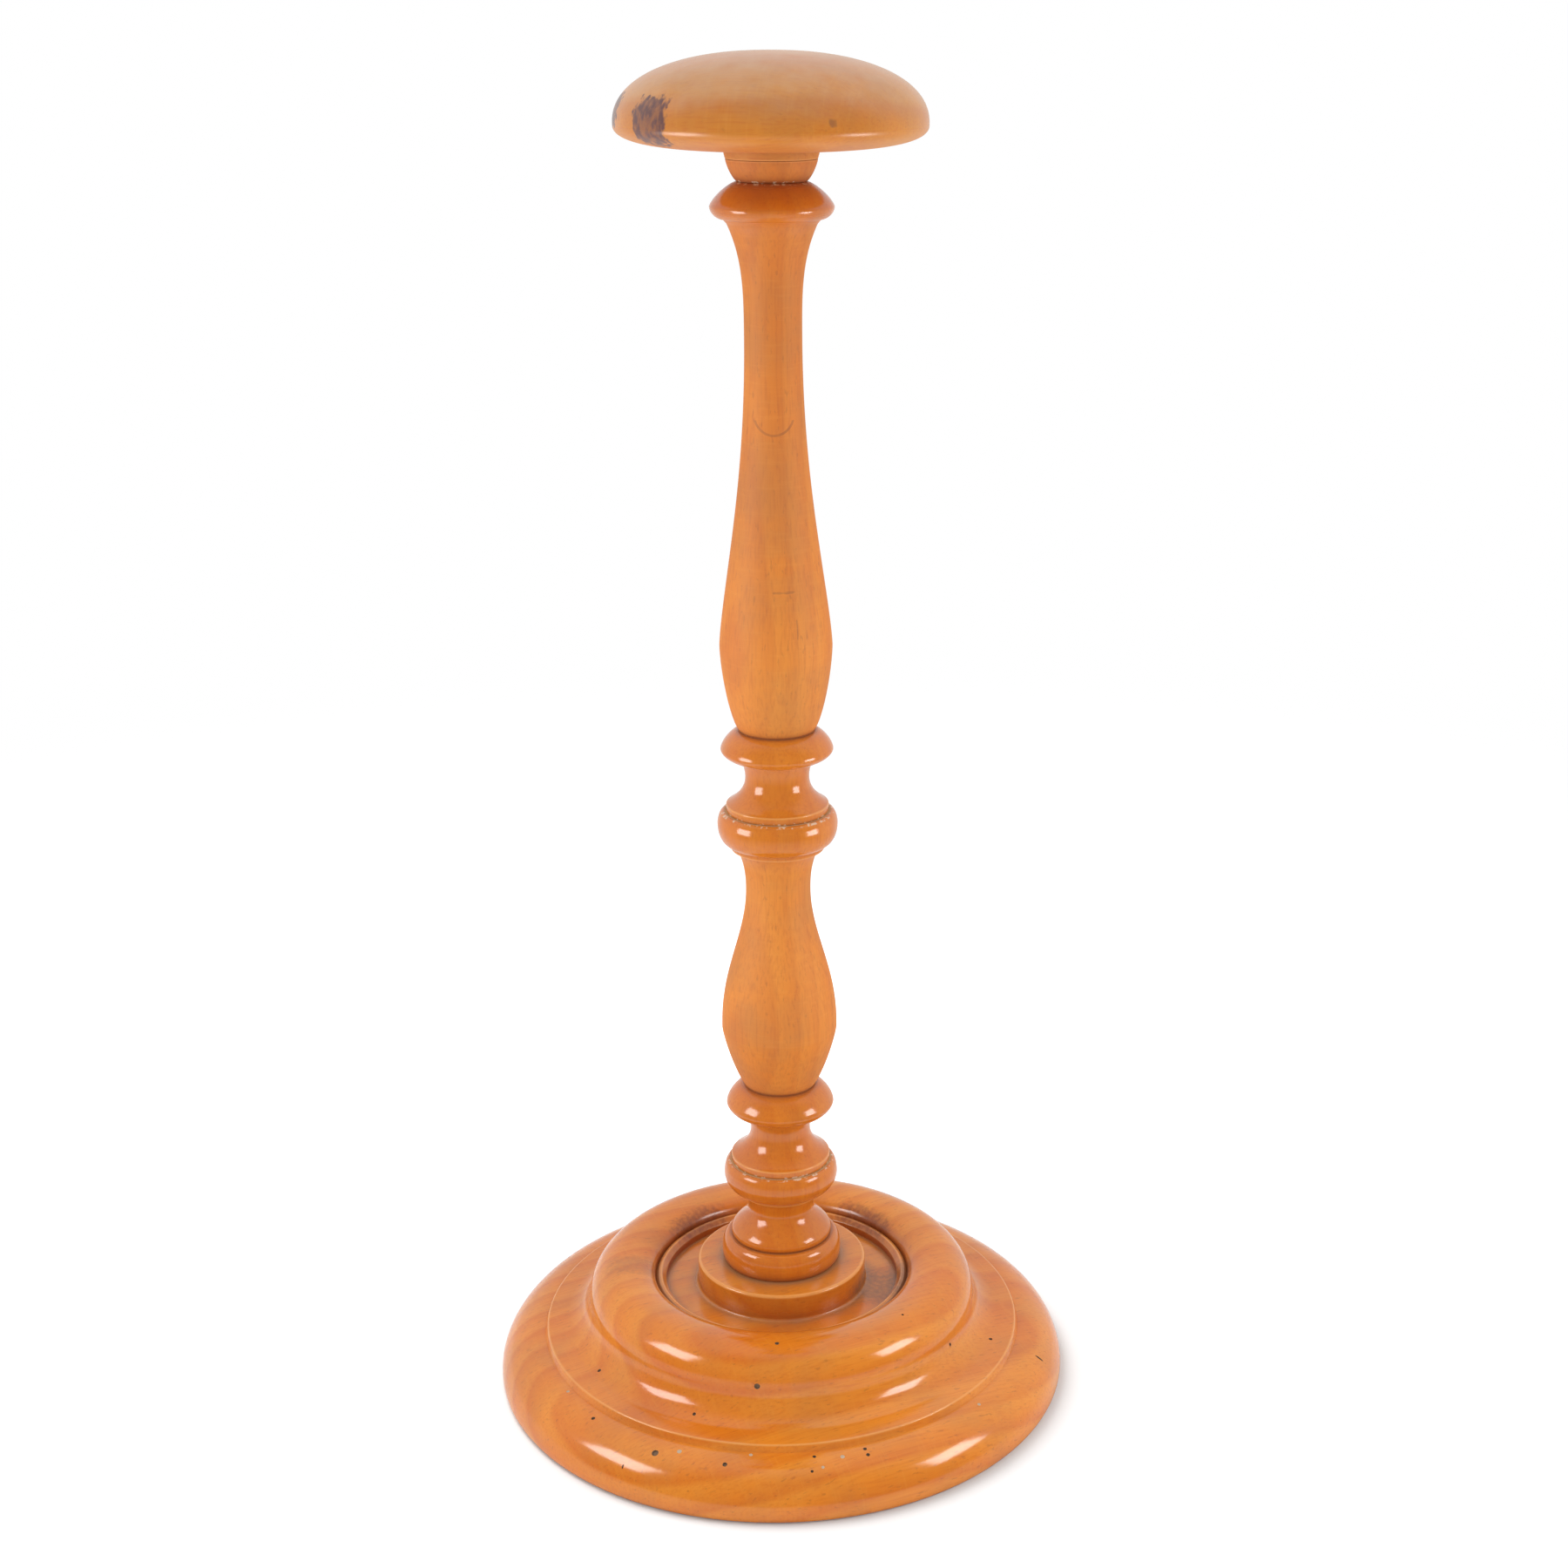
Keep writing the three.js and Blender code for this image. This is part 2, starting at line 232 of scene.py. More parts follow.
class Shelter:
    """How sheltered each place on the stand is from a duster and from light.

    It looks out from a place over the outlines of all pieces, in the plane through the axis.
    """

    HOLLOW = 45.0  # mm across a hollow that a hand with a duster still reaches, and the reach of the painted shade
    CREVICE = 4.0  # mm across a crevice that no duster gets into, and the reach of the deepest painted shade
    START = 0.06  # mm, from the surface to where a look starts
    LOOKS = np.radians(np.linspace(-80, 80, 33))

    def __init__(self, pieces: Iterable[TurnedPiece]) -> None:
        """Gathers the facets of the pieces' outlines, in mm from the foot's underside.

        Args:
            pieces: every turned piece of the stand.
        """
        starts, ends = [], []
        for piece in pieces:
            points = np.array(piece.outline().points) + (0, piece.seat)
            starts.append(points[:-1])
            ends.append(points[1:])
        self.starts = np.concatenate(starts)
        self.along = np.concatenate(ends) - self.starts

    def at(self, place: np.ndarray, outwards: np.ndarray) -> float:
        """Gives how sheltered a place is.

        Args:
            place: radius and height of the place, in mm.
            outwards: the surface's unit normal there, as radius and height.

        Returns:
            0 in the open, up to 1 at the bottom of a deep groove.
        """
        sideways = np.array((-outwards[1], outwards[0]))
        looks = np.outer(np.cos(self.LOOKS), outwards) + np.outer(np.sin(self.LOOKS), sideways)
        origin = place + outwards * self.START
        across = self.starts - origin
        cross = looks[:, :1] * self.along[:, 1] - looks[:, 1:] * self.along[:, 0]
        safe = np.where(np.abs(cross) < 1e-9, 1e-9, cross)
        distance = (across[:, 0] * self.along[:, 1] - across[:, 1] * self.along[:, 0]) / safe
        share = (across[:, 0] * looks[:, 1:] - across[:, 1] * looks[:, :1]) / safe
        met = (distance > 0) & (share >= 0) & (share <= 1) & (np.abs(cross) >= 1e-9)
        nearest = np.where(met, distance, self.HOLLOW).min(axis=1)
        weight = np.cos(self.LOOKS) / np.cos(self.LOOKS).sum()
        hollow, crevice = (
            float(((1 - nearest / reach).clip(0, 1) * weight).sum())
            for reach in (self.HOLLOW, self.CREVICE)
        )
        return min(1.0, 0.75 * hollow + 0.5 * crevice)


# Materials


def linear(colour: str) -> tuple[float, float, float, float]:
    """Gives the linear colour of an sRGB hex value such as "#D98844".

    Args:
        colour: the sRGB value, as a hash sign and six hex digits.

    Returns:
        Linear red, green and blue, and an alpha of 1.
    """
    parts = [int(colour[i : i + 2], 16) / 255 for i in (1, 3, 5)]
    light = [p / 12.92 if p <= 0.04045 else ((p + 0.055) / 1.055) ** 2.4 for p in parts]
    return (*light, 1.0)


def add_node(
    tree: bpy.types.NodeTree,
    kind: str,
    links: dict[str, object] | None = None,
    **settings: object,
) -> bpy.types.Node:
    """Adds a node to a tree.

    Args:
        tree: the node tree that it goes in.
        kind: the node's type, without the leading "ShaderNode".
        links: a value, or the output that feeds it, for each input's name or identifier.
        settings: the node's own properties. The setting stops gives a colour ramp's stops.

    Returns:
        The new node.
    """
    node = tree.nodes.new("ShaderNode" + kind)
    for name, value in settings.items():
        if name == "stops":
            ramp = node.color_ramp.elements
            while len(ramp) < len(value):
                ramp.new(0.5)
            for element, (position, colour) in zip(ramp, value):
                element.position = position
                element.color = colour
        else:
            setattr(node, name, value)
    for name, value in (links or {}).items():
        socket = next(s for s in node.inputs if name in (s.identifier, s.name))
        if isinstance(value, bpy.types.NodeSocket):
            tree.links.new(value, socket)
        else:
            socket.default_value = value
    return node


def new_material(name: str) -> tuple[bpy.types.Material, bpy.types.NodeTree]:
    """Makes an empty node material and gives it with its tree.

    Args:
        name: the material's name.

    Returns:
        The material and its empty node tree.
    """
    material = bpy.data.materials.new(name)
    material.use_nodes = True
    material.node_tree.nodes.clear()
    return material, material.node_tree


def mixed(tree: bpy.types.NodeTree, share: object, under: object, over: object) -> Output:
    """Mixes two colours by a share and gives the mixed colour's output.

    Args:
        tree: the node tree of the material.
        share: how much of the upper colour there is, 0 to 1.
        under: the colour at share 0.
        over: the colour at share 1.

    Returns:
        The output with the mixed colour.
    """
    node = add_node(
        tree,
        "Mix",
        {"Factor_Float": share, "A_Color": under, "B_Color": over},
        data_type="RGBA",
    )
    return next(s for s in node.outputs if s.identifier == "Result_Color")


@dataclass(frozen=True)
class Stain:
    """A ragged stain or mark in the polish, placed round the axis. Lengths in mm."""

    azimuth: float  # degrees from the X axis
    half_width: float
    low: float
    high: float
    radius: float
    colour: str = "#523537"
    strength: float = 0.92
    ragged: float = 2.6  # how far its edge strays
    soft: float = 0.35  # over how much of its size it fades
    bowl: bool = False  # only the lower rim of the patch is marked


@dataclass(frozen=True)
class PolishedFruitwood:
    """Close-grained fruitwood, turned and french polished, and mellowed by age.

    It gives the eye a warm honey ground with faint growth bands and short dark flecks, a clear
    gloss with soft edges, red-brown old polish and grey dust where a duster does not reach,
    painted shade where light does not reach, and a painted sheen and highlights on tops and edges.
    """

    name: str
    cut: Cut
    pale: str = "#EE9C38"
    middle: str = "#E48422"
    deep: str = "#CC6016"
    band: float = 13.0  # mm between growth bands
    figure: float = 0.42  # how strongly the growth bands show
    gloss: float = 0.14  # roughness of whole polish
    flecked: float = 0.3  # how strongly the short dark flecks show
    ripe: float = 0.0  # how much deeper the polish is where no hand rubs it
    film: float = 0.25  # how strongly the thin brown film of dirt shows
    dust: float = 0.2  # how strongly the dust in the hollows shows
    heart: tuple[float, float] = (42.0, -58.0)  # mm from the blank's middle to the tree's
    grain_turn: float = 0.0  # degrees that a flat blank's grain is turned from the X axis
    grime_and_shade: float = 0.75  # how strongly old polish and painted shade darken the hollows
    bloom: float = 0.0  # share of painted sheen on the top, the white surround's reflection
    stains: tuple[Stain, ...] = ()

    IOR = 1.55  # of shellac
    HANDLED_ROUGHNESS = 0.7
    DIRT_ROUGHNESS = 0.3  # that old polish and dirt add, by the share that also paints the shade

    # features to a metre along, across and through the grain
    FIBRES = (70, 1500, 1500)
    FLECKS = (330, 1100, 1100)
    RAYS = (1100, 110, 110)
    PATCHES = (9, 26, 26)

    # features to a metre along X, Y and Z
    RIPPLES = (70, 70, 70)
    GRIT = (900, 900, 900)
    FILM_CLOUDS = (55, 55, 55)
    MOTTLE = (160, 160, 160)
    CRUMBS = (700, 700, 700)
    STAIN_EDGE = (650, 650, 380)

    # depths in mm of what roughens the polish
    RIPPLE_DEPTH = 0.10
    FIBRE_DEPTH = 0.006
    GRIT_DEPTH = 0.012

    # colour of old polish in the hollows, also laid there as painted shade
    OLD_POLISH_AND_SHADE = "#9A4A1C"
    DUST = "#A8825C"
    FLECK = "#A35420"
    # paler colour of worn edges, also a painted highlight along them
    EDGE_WEAR_AND_GLINT = "#F0AA60"
    FILM = "#AA7240"
    # colour of the painted sheen, the white surround's reflection on the top
    BLOOM = "#DDB48C"
    WAX = "#E6D2B6"

    def material(self) -> bpy.types.Material:
        """Makes the material.

        Returns:
            The material, to append to a piece.
        """
        material, tree = new_material(self.name)
        coordinates = add_node(tree, "TexCoord").outputs
        place = coordinates["Object"]
        grain = self._grain_space(tree, place)
        wood = self._banded(tree, grain)
        fibres = self._noise(tree, grain, self.FIBRES, 2.0)
        wood = mixed(tree, self._share(tree, fibres, 0.40, 0.80, 0.40), wood, linear(self.deep))
        flecks = self._noise(tree, grain, self.FLECKS, 3.0)
        flecked = self._share(tree, flecks, 0.60, 0.72, self.flecked)
        wood = mixed(tree, flecked, wood, linear(self.FLECK))
        rays = self._noise(tree, grain, self.RAYS, 2.0)
        wood = mixed(tree, self._share(tree, rays, 0.50, 0.75, 0.16), wood, linear(self.pale))
        clouds = self._noise(tree, place, self.FILM_CLOUDS, 5.0)
        film = self._share(tree, clouds, 0.38, 0.72, self.film)
        wood = mixed(tree, film, wood, linear(self.FILM))
        handled = add_node(tree, "Attribute", attribute_name="handled").outputs["Fac"]
        if self.ripe:
            ripe = self._share(tree, handled, 1.0, 0.0, self.ripe)
            wood = mixed(tree, ripe, wood, linear(self.deep))
        # worn edges painted paler, which is also a painted highlight along the arrises
        rubbed = add_node(tree, "Attribute", attribute_name="rubbed").outputs["Fac"]
        rubbed = self._share(tree, rubbed, 0.2, 1.0, 0.6)
        wood = mixed(tree, rubbed, wood, linear(self.EDGE_WEAR_AND_GLINT))
        # the share of old polish and painted shade, which also roughens the polish
        wood, dirt_and_shade = self._soiled(tree, wood, place, coordinates["Normal"])
        for stain in self.stains:
            wood = mixed(tree, self._stained(tree, place, stain), wood, linear(stain.colour))
        ripples = self._noise(tree, place, self.RIPPLES, 1.0)
        grit = self._noise(tree, place, self.GRIT, 2.0)
        bump = None
        for height, depth in (
            (ripples, self.RIPPLE_DEPTH),
            (fibres, self.FIBRE_DEPTH),
            (grit, self.GRIT_DEPTH),
        ):
            links = {"Height": height, "Strength": 1.0, "Distance": depth * MM}
            if bump is not None:
                links["Normal"] = bump
            bump = add_node(tree, "Bump", links).outputs["Normal"]
        satin = add_node(
            tree,
            "MapRange",
            {"Value": handled, "To Min": self.gloss, "To Max": self.HANDLED_ROUGHNESS},
        ).outputs["Result"]
        dull = add_node(
            tree,
            "Math",
            {"Value": dirt_and_shade, "Value_001": self.DIRT_ROUGHNESS, "Value_002": satin},
            operation="MULTIPLY_ADD",
        ).outputs["Value"]
        shader = add_node(
            tree,
            "BsdfPrincipled",
            {"Base Color": wood, "Roughness": dull, "IOR": self.IOR, "Normal": bump},
        )
        output = add_node(tree, "OutputMaterial")
        tree.links.new(shader.outputs["BSDF"], output.inputs["Surface"])
        return material

    def _grain_space(self, tree: bpy.types.NodeTree, place: Output) -> Output:
        """Turns the blank's grain along X, with the heart of the tree at the middle of YZ.

        Args:
            tree: the node tree of the material.
            place: the place on the piece, in metres.

        Returns:
            The output with the place in the tree that the blank was cut from.
        """
        turned = Euler((0, math.radians(90), 0))
        if self.cut is Cut.ACROSS:
            turned = Euler((0, 0, math.radians(-self.grain_turn)))
        across, up = self.heart
        return add_node(
            tree,
            "Mapping",
            {"Vector": place, "Location": (0, across * MM, up * MM), "Rotation": turned},
        ).outputs["Vector"]

    def _noise(
        self, tree: bpy.types.NodeTree, place: Output, per_metre: Size, detail: float
    ) -> Output:
        """Gives noise from 0 to 1 with so many features to a metre along each direction.

        Args:
            tree: the node tree of the material.
            place: the place on the piece or in the grain, in metres.
            per_metre: how many features there are to a metre along X, Y and Z.
            detail: how many finer layers the noise has.

        Returns:
            The output with the noise.
        """
        scaled = add_node(tree, "Mapping", {"Vector": place, "Scale": per_metre})
        return add_node(
            tree,
            "TexNoise",
            {"Vector": scaled.outputs["Vector"], "Scale": 1.0, "Detail": detail},
        ).outputs["Fac"]

    def _share(
        self, tree: bpy.types.NodeTree, value: Output, low: float, high: float, most: float
    ) -> Output:
        """Gives 0 where a value is below low, rising smoothly to the most where above high.

        Args:
            tree: the node tree of the material.
            value: the output with the value.
            low: value at which the share is 0.
            high: value at which the share is at its most.
            most: the largest share.

        Returns:
            The output with the share.
        """
        return add_node(
            tree,
            "MapRange",
            {"Value": value, "From Min": low, "From Max": high, "To Max": most},
            interpolation_type="SMOOTHSTEP",
        ).outputs["Result"]

    def _banded(self, tree: bpy.types.NodeTree, grain: Output) -> Output:
        """Gives the growth bands: each darkens slowly and ends sharply, and some are redder.

        Args:
            tree: the node tree of the material.
            grain: the place in the tree that the blank was cut from.

        Returns:
            The output with the banded colour.
        """
        drawn_out = add_node(tree, "Mapping", {"Vector": grain, "Scale": (0.22, 1, 1)})
        band = add_node(
            tree,
            "TexWave",
            {
                "Vector": drawn_out.outputs["Vector"],
                "Scale": 2 * math.pi / WAVES_PER_UNIT / (self.band * MM),
                "Distortion": 2.6,
                "Detail": 2.0,
                "Detail Scale": 0.7,
                "Detail Roughness": 0.5,
            },
            wave_type="RINGS",
            rings_direction="X",
            wave_profile="SAW",
        ).outputs["Fac"]
        wood = add_node(
            tree,
            "ValToRGB",
            {"Fac": band},
            stops=[
                (0.0, linear(self.pale)),
                (0.5, linear(self.middle)),
                (0.82, linear(self.deep)),
                (1.0, linear(self.pale)),
            ],
        ).outputs["Color"]
        wood = mixed(tree, self.figure, linear(self.middle), wood)
        patches = self._noise(tree, grain, self.PATCHES, 2.0)
        wood = mixed(tree, self._share(tree, patches, 0.42, 0.72, 0.25), wood, linear(self.deep))
        return mixed(tree, self._share(tree, patches, 0.52, 0.24, 0.35), wood, linear(self.pale))

    def _soiled(
        self, tree: bpy.types.NodeTree, wood: Output, place: Output, outwards: Output
    ) -> tuple[Output, Output]:
        """Adds old polish with painted shade in the hollows, dust in the deepest ones, and a
        painted sheen on the top.

        Args:
            tree: the node tree of the material.
            wood: the clean polished wood's colour.
            place: the place on the piece, in metres.
            outwards: the direction that the surface faces.

        Returns:
            The colour with its dirt, painted shade and painted sheen, and the share of old polish
            and painted shade.
        """
        shelter = add_node(tree, "Attribute", attribute_name="shelter").outputs["Fac"]
        mottle = self._noise(tree, place, self.MOTTLE, 4.0)
        ragged = add_node(
            tree,
            "Math",
            {"Value": mottle, "Value_001": 0.25, "Value_002": shelter},
            operation="MULTIPLY_ADD",
        ).outputs["Value"]
        # old polish and painted shade: darker where a place is sheltered from dusters and from
        # light
        old_polish_and_shade = self._share(tree, ragged, 0.26, 0.85, self.grime_and_shade)
        wood = mixed(tree, old_polish_and_shade, wood, linear(self.OLD_POLISH_AND_SHADE))
        up = add_node(tree, "SeparateXYZ", {"Vector": outwards}).outputs["Z"]
        lying = self._share(tree, up, 0.15, 0.9, 1.0)
        dusty = add_node(
            tree,
            "Math",
            {"Value": self._share(tree, ragged, 0.30, 0.75, self.dust), "Value_001": lying},
            operation="MULTIPLY",
        ).outputs["Value"]
        wood = mixed(tree, dusty, wood, linear(self.DUST))
        waxed = add_node(tree, "Attribute", attribute_name="waxed").outputs["Fac"]
        crumbs = self._noise(tree, place, self.CRUMBS, 3.0)
        lodged = add_node(
            tree,
            "Math",
            {"Value": self._share(tree, crumbs, 0.54, 0.62, 0.75), "Value_001": waxed},
            operation="MULTIPLY",
        ).outputs["Value"]
        wood = mixed(tree, lodged, wood, linear(self.WAX))
        # painted sheen: upward faces paler, as the white surround's reflection on the top
        if self.bloom:
            painted_sheen = add_node(
                tree,
                "Math",
                {"Value": self._share(tree, up, -0.1, 0.95, self.bloom), "Value_001": mottle},
                operation="MULTIPLY",
            ).outputs["Value"]
            wood = mixed(tree, painted_sheen, wood, linear(self.BLOOM))
        return wood, old_polish_and_shade

    def _stained(self, tree: bpy.types.NodeTree, place: Output, stain: Stain) -> Output:
        """Gives the share of a ragged stain at each place.

        Args:
            tree: the node tree of the material.
            place: the place on the piece, in metres.
            stain: the stain to lay down.

        Returns:
            The output with the stain's share.
        """
        turned = add_node(
            tree,
            "VectorRotate",
            {"Vector": place, "Angle": -math.radians(stain.azimuth)},
            rotation_type="Z_AXIS",
        ).outputs["Vector"]
        mottle = self._noise(tree, place, self.STAIN_EDGE, 5.0)
        middle = (stain.low + stain.high) / 2
        centred = add_node(
            tree,
            "Mapping",
            {
                "Vector": turned,
                "Location": (-stain.radius * MM, 0, -middle * MM),
            },
        ).outputs["Vector"]
        sized = add_node(
            tree,
            "Mapping",
            {
                "Vector": centred,
                "Scale": (
                    1 / (stain.half_width * 1.6 * MM),
                    1 / (stain.half_width * MM),
                    2 / ((stain.high - stain.low) * MM),
                ),
            },
        ).outputs["Vector"]
        # the fourth-power mean of the three sides makes a patch with rounded corners
        sides = add_node(tree, "VectorMath", {"Vector": sized}, operation="ABSOLUTE").outputs[0]
        squared = add_node(
            tree, "VectorMath", {"Vector": sides, "Vector_001": sides}, operation="MULTIPLY"
        ).outputs[0]
        size = add_node(tree, "VectorMath", {"Vector": squared}, operation="LENGTH").outputs[1]
        if stain.bowl:
            size = self._lower_rim(tree, sized)
        ragged = add_node(
            tree,
            "Math",
            {"Value": mottle, "Value_001": -stain.ragged, "Value_002": size},
            operation="MULTIPLY_ADD",
        ).outputs["Value"]
        middling = 1 - stain.ragged / 2
        edge = self._share(tree, ragged, middling, middling - stain.soft, stain.strength)
        worn = add_node(
            tree,
            "MapRange",
            {"Value": mottle, "From Min": 0.35, "From Max": 0.6, "To Min": 0.65, "To Max": 1.0},
        ).outputs["Result"]
        return add_node(
            tree, "Math", {"Value": edge, "Value_001": worn}, operation="MULTIPLY"
        ).outputs["Value"]

    def _lower_rim(self, tree: bpy.types.NodeTree, sized: Output) -> Output:
        """Gives a size that is small along the lower half of a patch's rim alone.

        Args:
            tree: the node tree of the material.
            sized: the place in the patch, where its sides lie at 1.

        Returns:
            The output with the size.
        """
        parts = add_node(tree, "SeparateXYZ", {"Vector": sized}).outputs
        flat = add_node(tree, "CombineXYZ", {"Y": parts["Y"], "Z": parts["Z"]}).outputs["Vector"]
        from_middle = add_node(tree, "VectorMath", {"Vector": flat}, operation="LENGTH").outputs[1]
        off_rim = add_node(
            tree,
            "Math",
            {"Value": from_middle, "Value_001": 1.0, "Value_002": 0.06},
            operation="COMPARE",
        ).outputs["Value"]
        low = self._share(tree, parts["Z"], -0.2, -0.3, 1.0)
        front = self._share(tree, parts["X"], -1.2, -1.0, 1.0)
        marked = add_node(
            tree, "Math", {"Value": off_rim, "Value_001": low}, operation="MULTIPLY"
        ).outputs["Value"]
        marked = add_node(
            tree, "Math", {"Value": marked, "Value_001": front}, operation="MULTIPLY"
        ).outputs["Value"]
        return add_node(
            tree, "Math", {"Value": 1.6, "Value_001": marked}, operation="SUBTRACT"
        ).outputs["Value"]


@dataclass(frozen=True)
class BareWood:
    """The same wood off the chisel and never polished: pale, dry and matt, with open grain."""

    name: str = "bare fruitwood, off the chisel"
    pale: str = "#D8AE7C"
    deep: str = "#B98652"

    def material(self) -> bpy.types.Material:
        """Makes the material.

        Returns:
            The material, to append to a piece.
        """
        material, tree = new_material(self.name)
        place = add_node(tree, "TexCoord").outputs["Object"]
        long_grain = add_node(tree, "Mapping", {"Vector": place, "Scale": (900, 900, 60)})
        fibres = add_node(
            tree, "TexNoise", {"Vector": long_grain.outputs["Vector"], "Scale": 1.0, "Detail": 3.0}
        ).outputs["Fac"]
        colour = mixed(tree, fibres, linear(self.pale), linear(self.deep))
        bump = add_node(
            tree, "Bump", {"Height": fibres, "Strength": 0.4, "Distance": 0.1 * MM}
        ).outputs["Normal"]
        shader = add_node(
            tree, "BsdfPrincipled", {"Base Color": colour, "Roughness": 0.75, "Normal": bump}
        )
        output = add_node(tree, "OutputMaterial")
        tree.links.new(shader.outputs["BSDF"], output.inputs["Surface"])
        return material


@dataclass(frozen=True)
class HoleFilling:
    """What fills a worm hole: dark dust deep inside, or pale old wax level with the polish."""

    name: str
    light: str
    dark: str
    roughness: float = 0.8

    def material(self) -> bpy.types.Material:
        """Makes the material.

        Returns:
            The material, to append to a piece.
        """
        material, tree = new_material(self.name)
        place = add_node(tree, "TexCoord").outputs["Object"]
        crumbs = add_node(tree, "TexNoise", {"Vector": place, "Scale": 2500.0}).outputs["Fac"]
        colour = mixed(tree, crumbs, linear(self.light), linear(self.dark))
        shader = add_node(
            tree, "BsdfPrincipled", {"Base Color": colour, "Roughness": self.roughness}
        )
        output = add_node(tree, "OutputMaterial")
        tree.links.new(shader.outputs["BSDF"], output.inputs["Surface"])
        return material


# Joinery


@dataclass(frozen=True)
class Peg:
    """A tenon, spigot or pivot and the socket that takes it, in mm."""

    radius: float
    depth: float
    fit: float = 0.3
    end_room: float = 1.0

    @property
    def bore(self) -> float:
        """Radius of the socket."""
        return self.radius + self.fit

    @property
    def bored_depth(self) -> float:
        """Depth of the socket."""
        return self.depth + self.end_room


COLUMN_TENON = Peg(5.6, 36)
SPOOL_SPIGOT = Peg(8.2, 5)
CUP_SPIGOT = Peg(4.2, 14)
HEAD_PIVOT = Peg(5.2, 12)
FOOT_TENON = Peg(9, 36.75)
TENON_RECESS = 0.75  # mm from the foot's underside up to the end of its tenon


@dataclass(frozen=True)
class WedgeSize:
    """The wedge in the foot tenon, in mm."""

    length: float = 20
    thick: float = 2.4
    tip: float = 0.9
    reach: float = 8.4


# Turned pieces


def report(piece: bpy.types.Object, body: str) -> None:
    """Reports a finished piece."""
    triangles = sum(len(face.vertices) - 2 for face in piece.data.polygons)
    logger.info("%s: %d triangles on body %s", piece.name, triangles, body)


@dataclass(frozen=True)
class History:
    """What age has done to the polish at one place, with where shade and highlight are painted,
    each from 0 to 1.
    """

    shelter: float  # how far dusters and light miss it, for old polish and painted shade
    rubbed: float  # how far an edge has lost its colour, with a painted highlight along it
    handled: float  # how far hands have dulled its gloss
    waxed: float  # whether wax has lodged in a seam there


